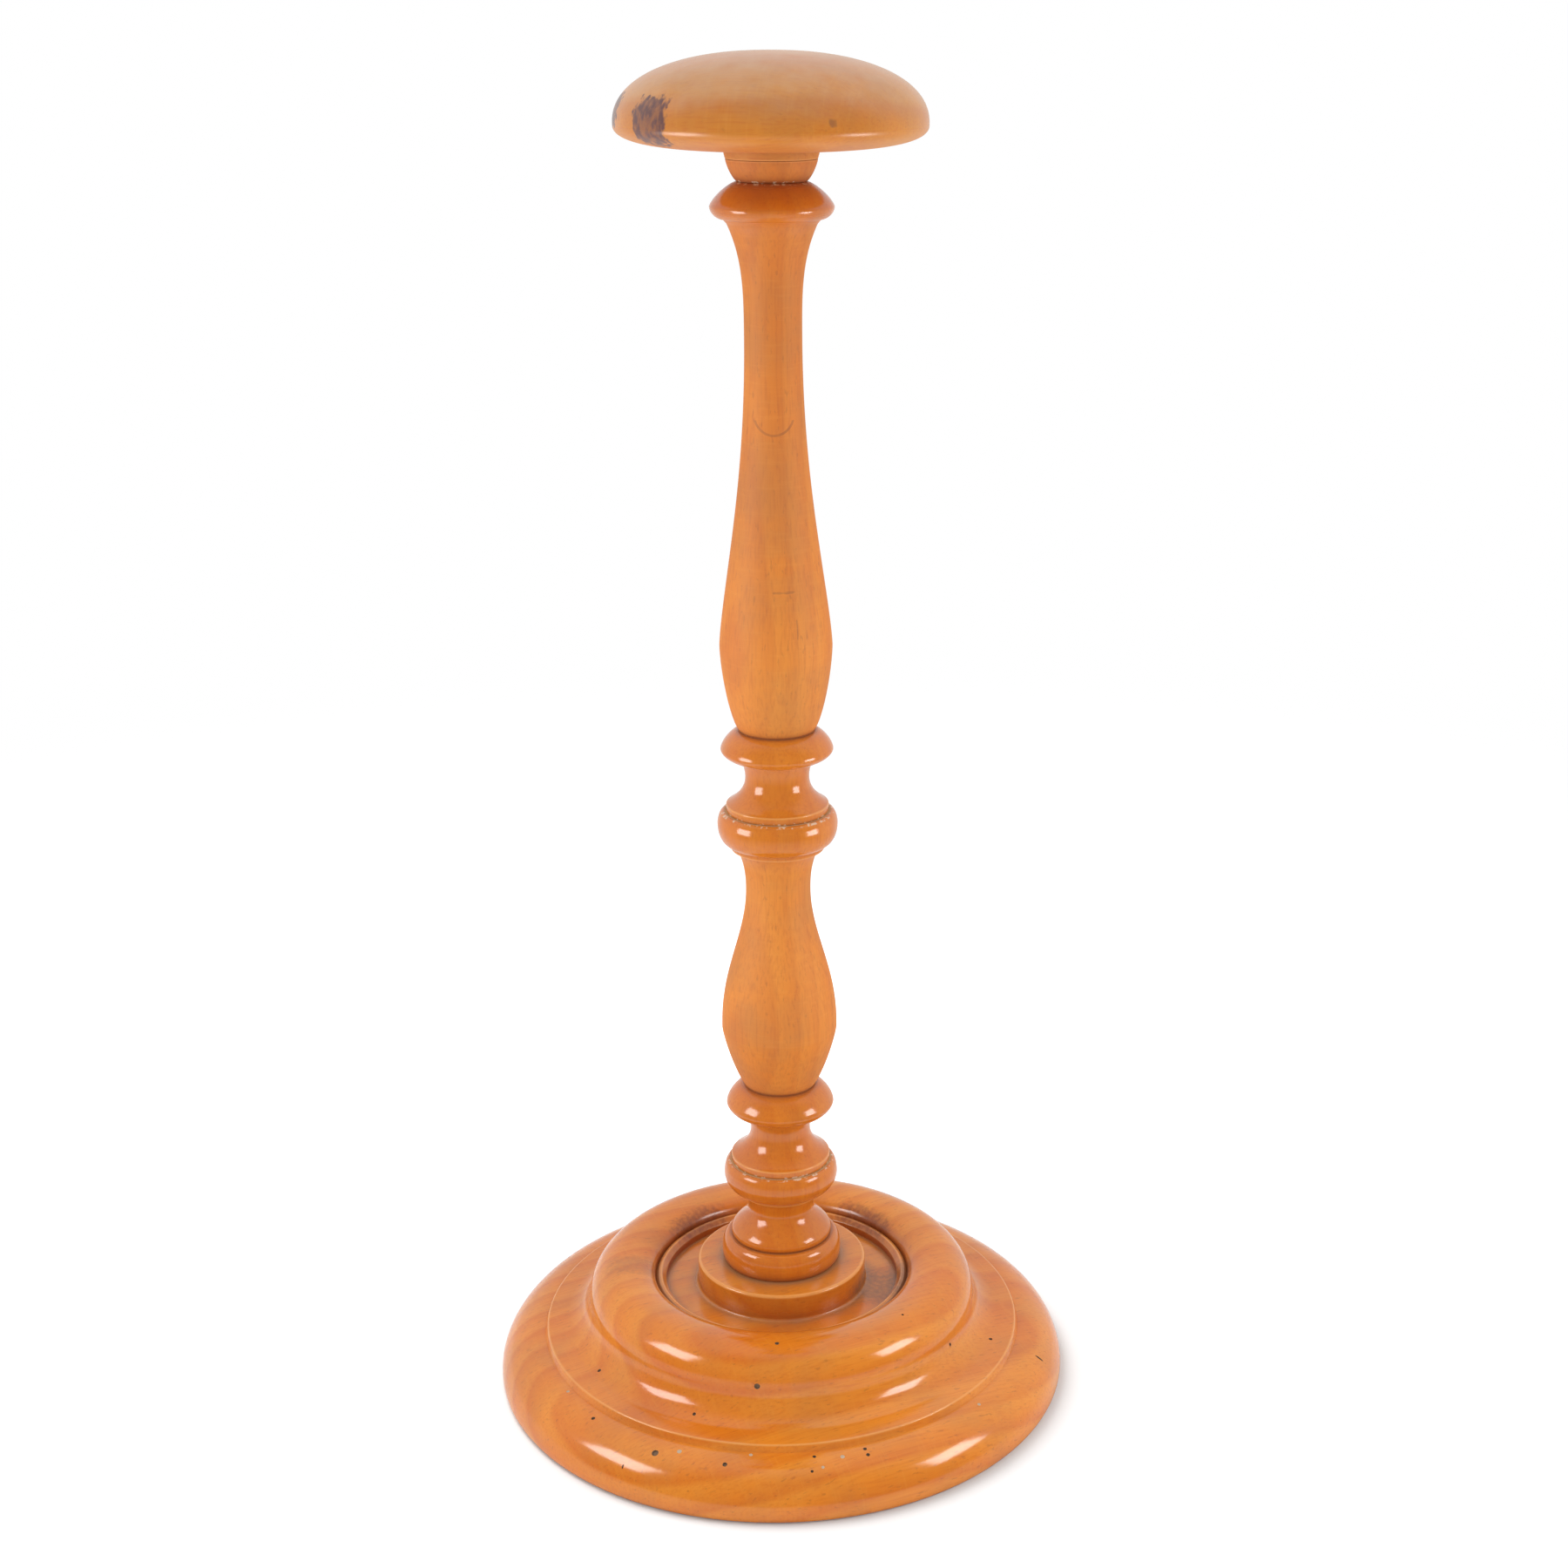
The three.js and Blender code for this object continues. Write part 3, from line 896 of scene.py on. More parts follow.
@dataclass(kw_only=True)
class TurnedPiece(ABC):
    """A piece of the stand that is turned about the Z axis."""

    node: str
    body: str
    slot: str
    seat: float  # mm from the foot's underside up to the piece's seat
    around: int = 96  # facets round the piece
    wear: float = 0.22  # mm that age has taken off an outer corner
    grip: Point = (0, 0)  # lowest and highest place above the seat where hands hold the piece

    @abstractmethod
    def outline(self) -> Outline:
        """Draws the outline of the piece from its own seat."""

    @abstractmethod
    def is_bare(self, radius: float, height: float) -> bool:
        """Says whether a place, in mm from the piece's seat, was never polished."""

    def build(self, shelter: Shelter, finishes: list[bpy.types.Material]) -> bpy.types.Object:
        """Makes the piece, gives it its finishes and puts it on its body.

        Args:
            shelter: how sheltered each place on the stand is.
            finishes: one material for each member of Face.

        Returns:
            The finished piece.
        """
        piece = self._spun()
        for material in finishes:
            piece.data.materials.append(material)
        self.carve(piece)
        self._mark_faces(piece)
        self._mark_history(piece, shelter)
        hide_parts(self.node)
        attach(piece, self.body)
        report(piece, self.body)
        return piece

    def carve(self, piece: bpy.types.Object) -> None:
        """Cuts what isn't turned out of the spun piece. Most pieces have nothing to cut."""

    def neglected(self, radius: float) -> float:
        """Gives how much more dirt has gathered at a radius than its shape alone would hold."""
        return 0.0

    def handled(self, height: float) -> float:
        """Gives how far hands have rubbed the gloss down at a height above the seat, 0 to 1.

        Args:
            height: height above the piece's seat, in mm.

        Returns:
            0 outside the grip, up to 1 inside it.
        """
        low, high = self.grip
        edge = min(height - low, high - height) / GRIP_FADE + 0.5
        return min(1.0, max(0.0, edge)) if high > low else 0.0

    def _spun(self) -> bpy.types.Object:
        """Spins the outline, with its outer corners worn, into a closed mesh.

        Returns:
            The spun piece, without materials.
        """
        outline = self.outline()
        shape = bmesh.new()
        chain = [
            shape.verts.new((radius * MM, 0, (self.seat + height) * MM))
            for radius, height in outline.points
        ]
        for low, high in zip(chain, chain[1:]):
            shape.edges.new((low, high))
        bmesh.ops.bevel(
            shape,
            geom=[chain[place] for place in outline.outer_corners()],
            offset=self.wear * MM,
            offset_type="OFFSET",
            segments=3,
            profile=0.5,
            affect="VERTICES",
            clamp_overlap=True,
            material=-1,
        )
        bmesh.ops.spin(
            shape,
            geom=shape.verts[:] + shape.edges[:],
            cent=(0, 0, 0),
            axis=(0, 0, 1),
            angle=2 * math.pi,
            steps=self.around,
            use_merge=True,
            use_normal_flip=False,
            use_duplicate=False,
        )
        bmesh.ops.remove_doubles(shape, verts=shape.verts, dist=WELD * MM)
        bmesh.ops.recalc_face_normals(shape, faces=shape.faces)
        for face in shape.faces:
            face.smooth = True
        mesh = bpy.data.meshes.new(self.node + "_turned")
        shape.to_mesh(mesh)
        shape.free()
        piece = bpy.data.objects.new(self.node + "_turned", mesh)
        bpy.context.scene.collection.objects.link(piece)
        return piece

    def _mark_faces(self, piece: bpy.types.Object) -> None:
        """Marks unpolished faces, and sharp edges for the shading.

        Args:
            piece: the spun and carved piece.
        """
        for face in piece.data.polygons:
            radius = math.hypot(face.center.x, face.center.y) / MM
            height = face.center.z / MM - self.seat
            if face.material_index == Face.POLISHED and self.is_bare(radius, height):
                face.material_index = Face.BARE
        piece.data.set_sharp_from_angle(angle=CREASE)

    def _mark_history(self, piece: bpy.types.Object, shelter: Shelter) -> None:
        """Stores what age has done at each vertex, with where shade and highlight are painted, for
        the polish to read.

        Args:
            piece: the spun and carved piece.
            shelter: how sheltered each place on the stand is.
        """
        outline = self.outline()
        corners = [Vector(outline.points[place]) for place in outline.outer_corners()]
        known: dict[tuple[int, int], History] = {}
        histories = []
        for vertex in piece.data.vertices:
            radius = math.hypot(vertex.co.x, vertex.co.y) / MM
            height = vertex.co.z / MM
            key = (round(radius * 100), round(height * 100))
            if key not in known:
                outwards = np.array((vertex.normal.x, vertex.normal.z))
                if radius > WELD:
                    flat = vertex.co.x * vertex.normal.x + vertex.co.y * vertex.normal.y
                    outwards[0] = flat / MM / radius
                outwards /= np.linalg.norm(outwards)
                place = Vector((radius, height - self.seat))
                nearest = min((place - corner).length for corner in corners)
                known[key] = History(
                    shelter=shelter.at(np.array((radius, height)), outwards)
                    + self.neglected(radius),
                    rubbed=max(0.0, 1 - nearest / EDGE_REACH),
                    handled=self.handled(place.y),
                    waxed=float(any(abs(height - seam) < WAX_REACH for seam in WAXED_SEAMS)),
                )
            histories.append(known[key])
        for field in fields(History):
            layer = piece.data.attributes.new(field.name, "FLOAT", "POINT")
            layer.data.foreach_set("value", [getattr(past, field.name) for past in histories])


def cut_away(piece: bpy.types.Object, cutter: bpy.types.Object) -> None:
    """Cuts one closed mesh out of another and deletes the cutter.

    Args:
        piece: the piece that is cut, with its materials.
        cutter: the shape that goes.
    """
    knife = piece.modifiers.new("cut", "BOOLEAN")
    knife.object = cutter
    knife.operation = "DIFFERENCE"
    knife.solver = "EXACT"
    knife.material_mode = "INDEX"
    for material in piece.data.materials:
        cutter.data.materials.append(material)
    bpy.context.view_layer.update()
    whole = piece.data
    evaluated = piece.evaluated_get(bpy.context.evaluated_depsgraph_get())
    piece.data = bpy.data.meshes.new_from_object(evaluated)
    piece.modifiers.clear()
    piece.data.name = whole.name
    bpy.data.meshes.remove(whole)
    bpy.data.objects.remove(cutter)


@dataclass(frozen=True)
class WormHole:
    """A worm's exit hole, or a short crack, in the top of the foot. Lengths in mm."""

    azimuth: float  # degrees from the X axis
    radius: float
    across: float = 1.5
    deep: float = 0.6
    stretch: float = 1  # how many times longer it is towards the axis than across
    lining: Face = Face.BORED

    def drill(self, shape: bmesh.types.BMesh, outline: Outline) -> None:
        """Adds the plug of wood that the hole takes out to a mesh of such plugs.

        Args:
            shape: the mesh of plugs.
            outline: the foot's outline, which the hole is drilled square to.
        """
        low, high = next(
            (Vector(a), Vector(b))
            for a, b in zip(outline.points, outline.points[1:])
            if b[0] <= self.radius < a[0] and a[1] > 0.1
        )
        share = (low.x - self.radius) / (low.x - high.x)
        along = (high - low).normalized()
        middle = low.lerp(high, share)
        outwards = Vector((along.y, 0, -along.x))
        turn = Matrix.Rotation(math.radians(self.azimuth), 4, "Z")
        upright = outwards.to_track_quat("Z", "X").to_matrix().to_4x4()
        size = Matrix.Diagonal((self.stretch, 1, 1, 1))
        place = Matrix.Translation((middle.x * MM, 0, middle.y * MM))
        made = bmesh.ops.create_cone(
            shape,
            cap_ends=True,
            segments=18,
            radius1=self.across * 0.4 * MM,
            radius2=self.across * 0.5 * MM,
            depth=self.deep * 2 * MM,
            matrix=turn @ place @ upright @ size,
        )
        for face in {face for vertex in made["verts"] for face in vertex.link_faces}:
            face.material_index = self.lining


# at their places on the front of the real foot
WORM_HOLES = (
    WormHole(-147.9, 66.6, 1.3),
    WormHole(-113.7, 65.9, 1.2),
    WormHole(-97.2, 61.1, 2.0),
    WormHole(-135.6, 79.7, 1.4),
    WormHole(-117.3, 82.1, 2.3),
    WormHole(-102.1, 81.5, 1.6),
    WormHole(-83.4, 78.4, 1.2),
    WormHole(-84.3, 83.2, 1.0),
    WormHole(-72.2, 78.3, 1.3),
    WormHole(-72.1, 80.6, 1.3),
    WormHole(-17.3, 68.8, 1.3),
    WormHole(-32.6, 61.6, 1.2),
    WormHole(-91.8, 51.4, 1.5),
    WormHole(-44.6, 51.8, 0.9),
    WormHole(-16.6, 84.4, 0.8, 1.5, 4.5),
    WormHole(-122.7, 87.4, 0.5, 0.5, 3),
    WormHole(-112.5, 79.7, 1.6, 0.12, lining=Face.WAXED),
    WormHole(-97.1, 77.2, 1.3, 0.12, lining=Face.WAXED),
    WormHole(-77.5, 79.7, 1.5, 0.12, lining=Face.WAXED),
    WormHole(-82.0, 82.3, 1.1, 0.12, lining=Face.WAXED),
    WormHole(-41.4, 79.2, 1.2, 0.12, lining=Face.WAXED),
    WormHole(-147.6, 77.7, 1.2, 0.12, lining=Face.WAXED),
)


@dataclass(kw_only=True)
class Foot(TurnedPiece):
    """The foot: outer roll, arris, cove, torus, and the pin well with its lip and boss."""

    node: str = "base_foot"
    body: str = "base"
    slot: str = "foot_wood"
    seat: float = 0
    around: int = 192
    height: float = 37.5
    sole: float = 88.25
    radius: float = 90
    widest_at: float = 2.25
    roll_top: Point = (76, 14.9)
    quirk: Point = (75.5, 15.9)
    arris: Point = (75, 16.9)
    cove_foot: Point = (70, 17.25)
    torus: Point = (61.2, 26.2)
    torus_top: Point = (50.5, 36.4)
    groove: Point = (40.3, 31)
    groove_bluntness: float = 0.85
    lip_shoulder: Point = (39.4, 32)
    lip: Point = (38.4, 32.3)
    well_edge: Point = (36.9, 30.8)
    well_floor: float = 28.8
    boss_foot: float = 27.6
    boss_cove: Point = (26.6, 29.8)
    boss_edge: float = 0.5
    well_dirt: float = 0.06

    def outline(self) -> Outline:
        """Draws the foot from its bore, out over the sole, and back in over the top."""
        boss = self.boss_cove[0]
        return (
            Outline(FOOT_TENON.bore, 0)
            .to(self.sole, 0, facet=12)
            .swell(self.radius, self.widest_at)
            .close(*self.roll_top)
            .to(*self.quirk)
            .to(*self.arris)
            .to(*self.cove_foot)
            .swell(*self.torus)
            .close(*self.torus_top)
            .swell(*self.groove, self.groove_bluntness)
            .to(*self.lip_shoulder)
            .to(*self.lip)
            .to(*self.well_edge)
            .to(self.well_edge[0], self.well_floor)
            .to(self.boss_foot, self.well_floor)
            .swell(*self.boss_cove)
            .to(boss, self.height - self.boss_edge)
            .to(boss - self.boss_edge, self.height)
            .to(FOOT_TENON.bore, self.height)
            .to(FOOT_TENON.bore, 0, facet=12)
        )

    def is_bare(self, radius: float, height: float) -> bool:
        """The sole, the bore and the seat of the pedestal are bare."""
        return height < 0.01 or radius < FOOT_TENON.bore + 0.01 or (height > 37.4 and radius < 17)

    def neglected(self, radius: float) -> float:
        """Pins lay in the well, so nobody wiped it as often as the rest."""
        return self.well_dirt * min(1.0, max(0.0, (self.torus_top[0] - radius) / 6))

    def carve(self, piece: bpy.types.Object) -> None:
        """Drills the worm holes and the cracks.

        Args:
            piece: the spun foot.
        """
        shape = bmesh.new()
        for hole in WORM_HOLES:
            hole.drill(shape, self.outline())
        bmesh.ops.recalc_face_normals(shape, faces=shape.faces)
        mesh = bpy.data.meshes.new("worm_holes")
        shape.to_mesh(mesh)
        shape.free()
        cutter = bpy.data.objects.new("worm_holes", mesh)
        bpy.context.scene.collection.objects.link(cutter)
        cut_away(piece, cutter)


@dataclass(kw_only=True)
class Pedestal(TurnedPiece):
    """The pedestal on the boss: foot bead, ogee, waist, fillet and bead."""

    node: str = "pedestal"
    body: str = "base"
    slot: str = "column_wood"
    seat: float = 37.5
    height: float = 34.5
    foot_seat: float = 17.8
    foot_bead: Point = (18.8, 3.6)
    foot_bead_top: Point = (16.4, 8.6)
    quirk: float = 15.3
    ogee: Point = (15.8, 10.2)
    waist: Point = (10.3, 18.6)
    fillet_foot: Point = (11.3, 23.2)
    fillet: float = 12.6
    fillet_top: float = 25.2
    bead_foot: float = 14.4
    bead: Point = (17.8, 30)
    bead_top: float = 15.9
    wedge: WedgeSize = WedgeSize()

    def outline(self) -> Outline:
        """Draws the pedestal from the end of its tenon to the bottom of its socket."""
        end = -FOOT_TENON.depth
        floor = self.height + 26.25 - COLUMN_TENON.bored_depth
        return (
            Outline(0, end)
            .to(FOOT_TENON.radius, end)
            .to(FOOT_TENON.radius, 0)
            .to(self.foot_seat, 0)
            .swell(*self.foot_bead)
            .close(*self.foot_bead_top)
            .to(self.quirk, self.foot_bead_top[1])
            .swell(*self.ogee)
            .sway(*self.waist, 0.85)
            .flare(*self.fillet_foot, 2)
            .to(self.fillet, self.fillet_foot[1])
            .to(self.fillet, self.fillet_top)
            .to(self.bead_foot, self.fillet_top)
            .swell(*self.bead, 1.15)
            .close(self.bead_top, self.height)
            .socket(
                (SPOOL_SPIGOT.bore, self.height - SPOOL_SPIGOT.bored_depth),
                (COLUMN_TENON.bore, floor),
            )
            .to(0, floor)
        )

    def is_bare(self, radius: float, height: float) -> bool:
        """The tenon, the socket and the spool's seat are bare."""
        return height < 0.01 or radius < SPOOL_SPIGOT.bore + 0.01 or height > self.height - 0.01

    def carve(self, piece: bpy.types.Object) -> None:
        """Saws the slit for the wedge into the tenon.

        Args:
            piece: the spun pedestal.
        """
        fit = FOOT_TENON.fit
        cutter = wedge_shape(
            "slit", self.wedge, FOOT_TENON.radius + fit, fit, self.seat - FOOT_TENON.depth
        )
        cut_away(piece, cutter)


def wedge_shape(
    name: str, size: WedgeSize, reach: float, room: float, foot: float
) -> bpy.types.Object:
    """Makes an upright wedge that tapers upwards, larger all round by the room.

    Args:
        name: the new object's name.
        size: the wedge's own sizes.
        reach: how far it reaches to either side of the axis, in mm.
        room: how much larger it is on every side, in mm.
        foot: height of the wedge's thick end above the foot's underside, in mm.

    Returns:
        The wedge as an object.
    """
    shape = bmesh.new()
    bmesh.ops.create_cube(shape, size=1)
    for vertex in shape.verts:
        is_top = vertex.co.z > 0
        thick = (size.tip if is_top else size.thick) + room * 2
        height = size.length + room if is_top else -room
        vertex.co = Vector(
            (
                math.copysign(thick / 2, vertex.co.x) * MM,
                math.copysign(reach, vertex.co.y) * MM,
                (foot + height) * MM,
            )
        )
    mesh = bpy.data.meshes.new(name)
    shape.to_mesh(mesh)
    shape.free()
    wedge = bpy.data.objects.new(name, mesh)
    bpy.context.scene.collection.objects.link(wedge)
    return wedge


@dataclass(kw_only=True)
class Spool(TurnedPiece):
    """A spool of a knop: an ogee collar, a waist and a bead, bored through for the tenon."""

    slot: str = "column_wood"
    height: float = 26.25
    collar: float = 15.3
    arris: Point = (15.4, 2.2)
    ogee: Point = (14.9, 2.4)
    waist: Point = (9.3, 11)
    bead_foot: Point = (10.8, 16.2)
    bead: Point = (16.7, 20)
    bead_top: float = 10.9

    def outline(self) -> Outline:
        """Draws the spool from its spigot, and back down its bore."""
        return (
            Outline(COLUMN_TENON.bore, -SPOOL_SPIGOT.depth)
            .to(SPOOL_SPIGOT.radius, -SPOOL_SPIGOT.depth)
            .to(SPOOL_SPIGOT.radius, 0)
            .to(self.collar, 0)
            .to(*self.arris)
            .to(*self.ogee)
            .sway(*self.waist, 0.52)
            .flare(*self.bead_foot, 2)
            .swell(*self.bead, 1.13)
            .close(self.bead_top, self.height, 1.35)
            .to(COLUMN_TENON.bore, self.height)
            .to(COLUMN_TENON.bore, -SPOOL_SPIGOT.depth)
        )

    def is_bare(self, radius: float, height: float) -> bool:
        """The spigot, the bore and the baluster's seat are bare."""
        return height < 0.01 or radius < COLUMN_TENON.bore + 0.01 or height > self.height - 0.01


@dataclass(kw_only=True)
class LowerBaluster(TurnedPiece):
    """The lower baluster: a vase under a fillet and a bead."""

    node: str = "lower_baluster"
    body: str = "lower_column"
    slot: str = "column_wood"
    seat: float = 98.25
    grip: Point = (-4, 76)
    height: float = 89.75
    foot_seat: float = 10.8
    belly: Point = (17.7, 19.3)
    neck: Point = (9.8, 64.6)
    flare_top: Point = (12.4, 77.9)
    fillet: float = 14.1
    fillet_top: Point = (14.2, 79.7)
    bead_foot: float = 14.9
    bead: Point = (18.1, 85.6)
    bead_top: float = 16

    def outline(self) -> Outline:
        """Draws the baluster from the end of its tenon to the bottom of its socket."""
        floor = self.height + 25.25 - COLUMN_TENON.bored_depth
        return (
            Outline(0, -COLUMN_TENON.depth)
            .to(COLUMN_TENON.radius, -COLUMN_TENON.depth)
            .to(COLUMN_TENON.radius, 0)
            .to(self.foot_seat, 0)
            .swell(*self.belly, 1.62)
            .sway(*self.neck, 1.12)
            .flare(*self.flare_top, 2.4)
            .to(self.fillet, self.flare_top[1])
            .to(*self.fillet_top)
            .to(self.bead_foot, self.fillet_top[1])
            .swell(*self.bead)
            .close(self.bead_top, self.height)
            .socket(
                (SPOOL_SPIGOT.bore, self.height - SPOOL_SPIGOT.bored_depth),
                (COLUMN_TENON.bore, floor),
            )
            .to(0, floor)
        )

    def is_bare(self, radius: float, height: float) -> bool:
        """The tenon, the socket and the spool's seat are bare."""
        return height < 0.01 or radius < SPOOL_SPIGOT.bore + 0.01 or height > self.height - 0.01


@dataclass(kw_only=True)
class UpperBaluster(TurnedPiece):
    """The upper baluster: a long vase and a trumpet under a bead."""

    node: str = "upper_baluster"
    body: str = "upper_column"
    slot: str = "column_wood"
    seat: float = 213.25
    grip: Point = (-4, 147)
    height: float = 157.75
    foot_seat: float = 11
    belly: Point = (16.6, 25.75)
    neck: Point = (8.2, 116)
    flare_top: Point = (12.7, 146.4)
    bead_foot: Point = (13.8, 147.6)
    bead: Point = (17.4, 151)
    bead_top: float = 9.7

    def outline(self) -> Outline:
        """Draws the baluster from the end of its tenon to the bottom of its socket."""
        floor = self.height - CUP_SPIGOT.bored_depth
        return (
            Outline(0, -COLUMN_TENON.depth)
            .to(COLUMN_TENON.radius, -COLUMN_TENON.depth)
            .to(COLUMN_TENON.radius, 0)
            .to(self.foot_seat, 0)
            .swell(*self.belly, 1.35)
            .sway(*self.neck, 0.68)
            .flare(*self.flare_top, 3.2)
            .to(*self.bead_foot)
            .swell(*self.bead, 1.1)
            .close(self.bead_top, self.height, 1.5)
            .socket((CUP_SPIGOT.bore, floor))
            .to(0, floor)
        )

    def is_bare(self, radius: float, height: float) -> bool:
        """The tenon, the socket and the neck cup's seat are bare."""
        return height < 0.01 or radius < CUP_SPIGOT.bore + 0.01 or height > self.height - 0.01


@dataclass(kw_only=True)
class NeckCup(TurnedPiece):
    """The neck cup, with a spigot below and the pivot that the head turns on above."""

    node: str = "neck_cup"
    body: str = "neck"
    grip: Point = (-20, 20)
    slot: str = "column_wood"
    seat: float = 371
    height: float = 6
    foot_seat: float = 9.7
    top: float = 12.8

    def outline(self) -> Outline:
        """Draws the cup from the end of its spigot to the end of its pivot."""
        return (
            Outline(0, -CUP_SPIGOT.depth)
            .to(CUP_SPIGOT.radius, -CUP_SPIGOT.depth)
            .to(CUP_SPIGOT.radius, 0)
            .to(self.foot_seat, 0)
            .swell(self.top, self.height, 1.5)
            .to(HEAD_PIVOT.radius, self.height)
            .to(HEAD_PIVOT.radius, self.height + HEAD_PIVOT.depth)
            .to(0, self.height + HEAD_PIVOT.depth)
        )

    def is_bare(self, radius: float, height: float) -> bool:
        """The spigot, the pivot and both seats are bare."""
        return height < 0.01 or height > self.height - 0.01


@dataclass(kw_only=True)
class Head(TurnedPiece):
    """The mushroom head that carries the wig, with its collar and blind socket."""

    node: str = "head_dome"
    body: str = "head"
    grip: Point = (-20, 5)
    slot: str = "head_wood"
    seat: float = 377
    around: int = 144
    height: float = 28.5
    collar: float = 12.8
    collar_top: Point = (13.5, 2.7)
    rim: Point = (43.3, 9.3)

    def outline(self) -> Outline:
        """Draws the head from the top of its socket, round its rim and up to its crown."""
        return (
            Outline(0, HEAD_PIVOT.bored_depth)
            .to(HEAD_PIVOT.bore, HEAD_PIVOT.bored_depth)
            .to(HEAD_PIVOT.bore, 0)
            .to(self.collar, 0)
            .to(*self.collar_top)
            .swell(*self.rim, 0.8)
            .close(0, self.height, 0.9)
        )

    def is_bare(self, radius: float, height: float) -> bool:
        """The socket and the seat on the neck cup are bare."""
        in_socket = radius < HEAD_PIVOT.bore + 0.01 and height < HEAD_PIVOT.bored_depth + 0.01
        return height < 0.01 or in_socket


# The studio


@dataclass(frozen=True)
class Viewpoint:
    """The camera, where the photograph was taken from. Lengths in mm, angles in degrees."""

    distance: float = 667.2
    height: float = 419.1
    pitch: float = 18.50
    yaw: float = 2.188
    roll: float = 0.166
    focal: float = 54.0
    sensor: float = 36.0
    axis_off: float = 90.1 / 1800  # how far right of the middle the optical axis meets the frame

    def place(self) -> bpy.types.Object:
        """Makes the camera and looks through it.

        Returns:
            The camera.
        """
        pitch, yaw, roll = (math.radians(a) for a in (self.pitch, self.yaw, self.roll))
        forward = Vector(
            (
                math.sin(yaw) * math.cos(pitch),
                math.cos(yaw) * math.cos(pitch),
                -math.sin(pitch),
            )
        )
        level = Vector((math.cos(yaw), -math.sin(yaw), 0))
        up = level.cross(forward)
        right = level * math.cos(roll) + up * math.sin(roll)
        up = up * math.cos(roll) - level * math.sin(roll)
        lens = bpy.data.cameras.new("viewpoint")
        lens.lens = self.focal
        lens.sensor_width = self.sensor
        lens.sensor_fit = "HORIZONTAL"
        lens.shift_x = -self.axis_off
        lens.clip_end = 50
        camera = bpy.data.objects.new("viewpoint", lens)
        bpy.context.scene.collection.objects.link(camera)
        turn = Matrix((right, up, -forward)).transposed().to_4x4()
        camera.matrix_world = (
            Matrix.Translation((0, -self.distance * MM, self.height * MM)) @ turn
        )
        bpy.context.scene.camera = camera
        return camera


@dataclass(frozen=True)
class SoftLight:
    """A square soft box beside the stand. Lengths in mm.

    Its bright middle is what the polish mirrors, and its whole glow is what lights the wood, so
    the two have powers of their own.
    """

    name: str
    place: tuple[float, float, float]
    size: float
    watts: float  # that light the wood
    mirrored_watts: float  # that the polish mirrors

    def hang(self) -> None:
        """Makes the soft box, facing the stand's axis at its own height."""
        glow = self._lamp("glow", self.watts, 0)
        glow.visible_glossy = False
        middle = self._lamp("middle", self.mirrored_watts, 4)
        middle.visible_diffuse = False

    def _lamp(self, part: str, watts: float, ahead: float) -> bpy.types.Object:
        """Makes one of the two lamps in the box, so many mm ahead of its place.

        Args:
            part: what the lamp is in the box.
            watts: its power.
            ahead: how far it is ahead of the box's place, in mm.

        Returns:
            The lamp.
        """
        lamp = bpy.data.lights.new(f"{self.name}, {part}", "AREA")
        lamp.shape = "SQUARE"
        lamp.size = self.size * MM
        lamp.energy = watts
        light = bpy.data.objects.new(lamp.name, lamp)
        bpy.context.scene.collection.objects.link(light)
        light.location = Vector(self.place) * MM
        aim = Vector((0, 0, self.place[2])) * MM - light.location
        light.rotation_euler = aim.to_track_quat("-Z", "Y").to_euler()
        light.location += aim.normalized() * ahead * MM
        light.visible_camera = False
        return light


@dataclass(frozen=True)
class FloorKey:
    """A lamp behind the stand that lights the floor alone, past the foot, for its soft shadow."""

    place: tuple[float, float, float] = (-250, 145, 590)
    size: float = 400
    watts: float = 4.2

    def hang(self, floor: bpy.types.Object, foot: bpy.types.Object) -> None:
        """Makes the lamp, and links it to the floor that it lights and the foot that shades.

        Args:
            floor: the floor, which alone is lit.
            foot: the foot, which alone casts a shadow.
        """
        lamp = bpy.data.lights.new("floor key", "AREA")
        lamp.shape = "SQUARE"
        lamp.size = self.size * MM
        lamp.energy = self.watts
        light = bpy.data.objects.new("floor key", lamp)
        bpy.context.scene.collection.objects.link(light)
        light.location = Vector(self.place) * MM
        light.rotation_euler = (-light.location).to_track_quat("-Z", "Y").to_euler()
        light.visible_camera = False
        lit = bpy.data.collections.new("lit by the floor key")
        lit.objects.link(floor)
        light.light_linking.receiver_collection = lit
        shading = bpy.data.collections.new("shades the floor key")
        shading.objects.link(foot)
        light.light_linking.blocker_collection = shading


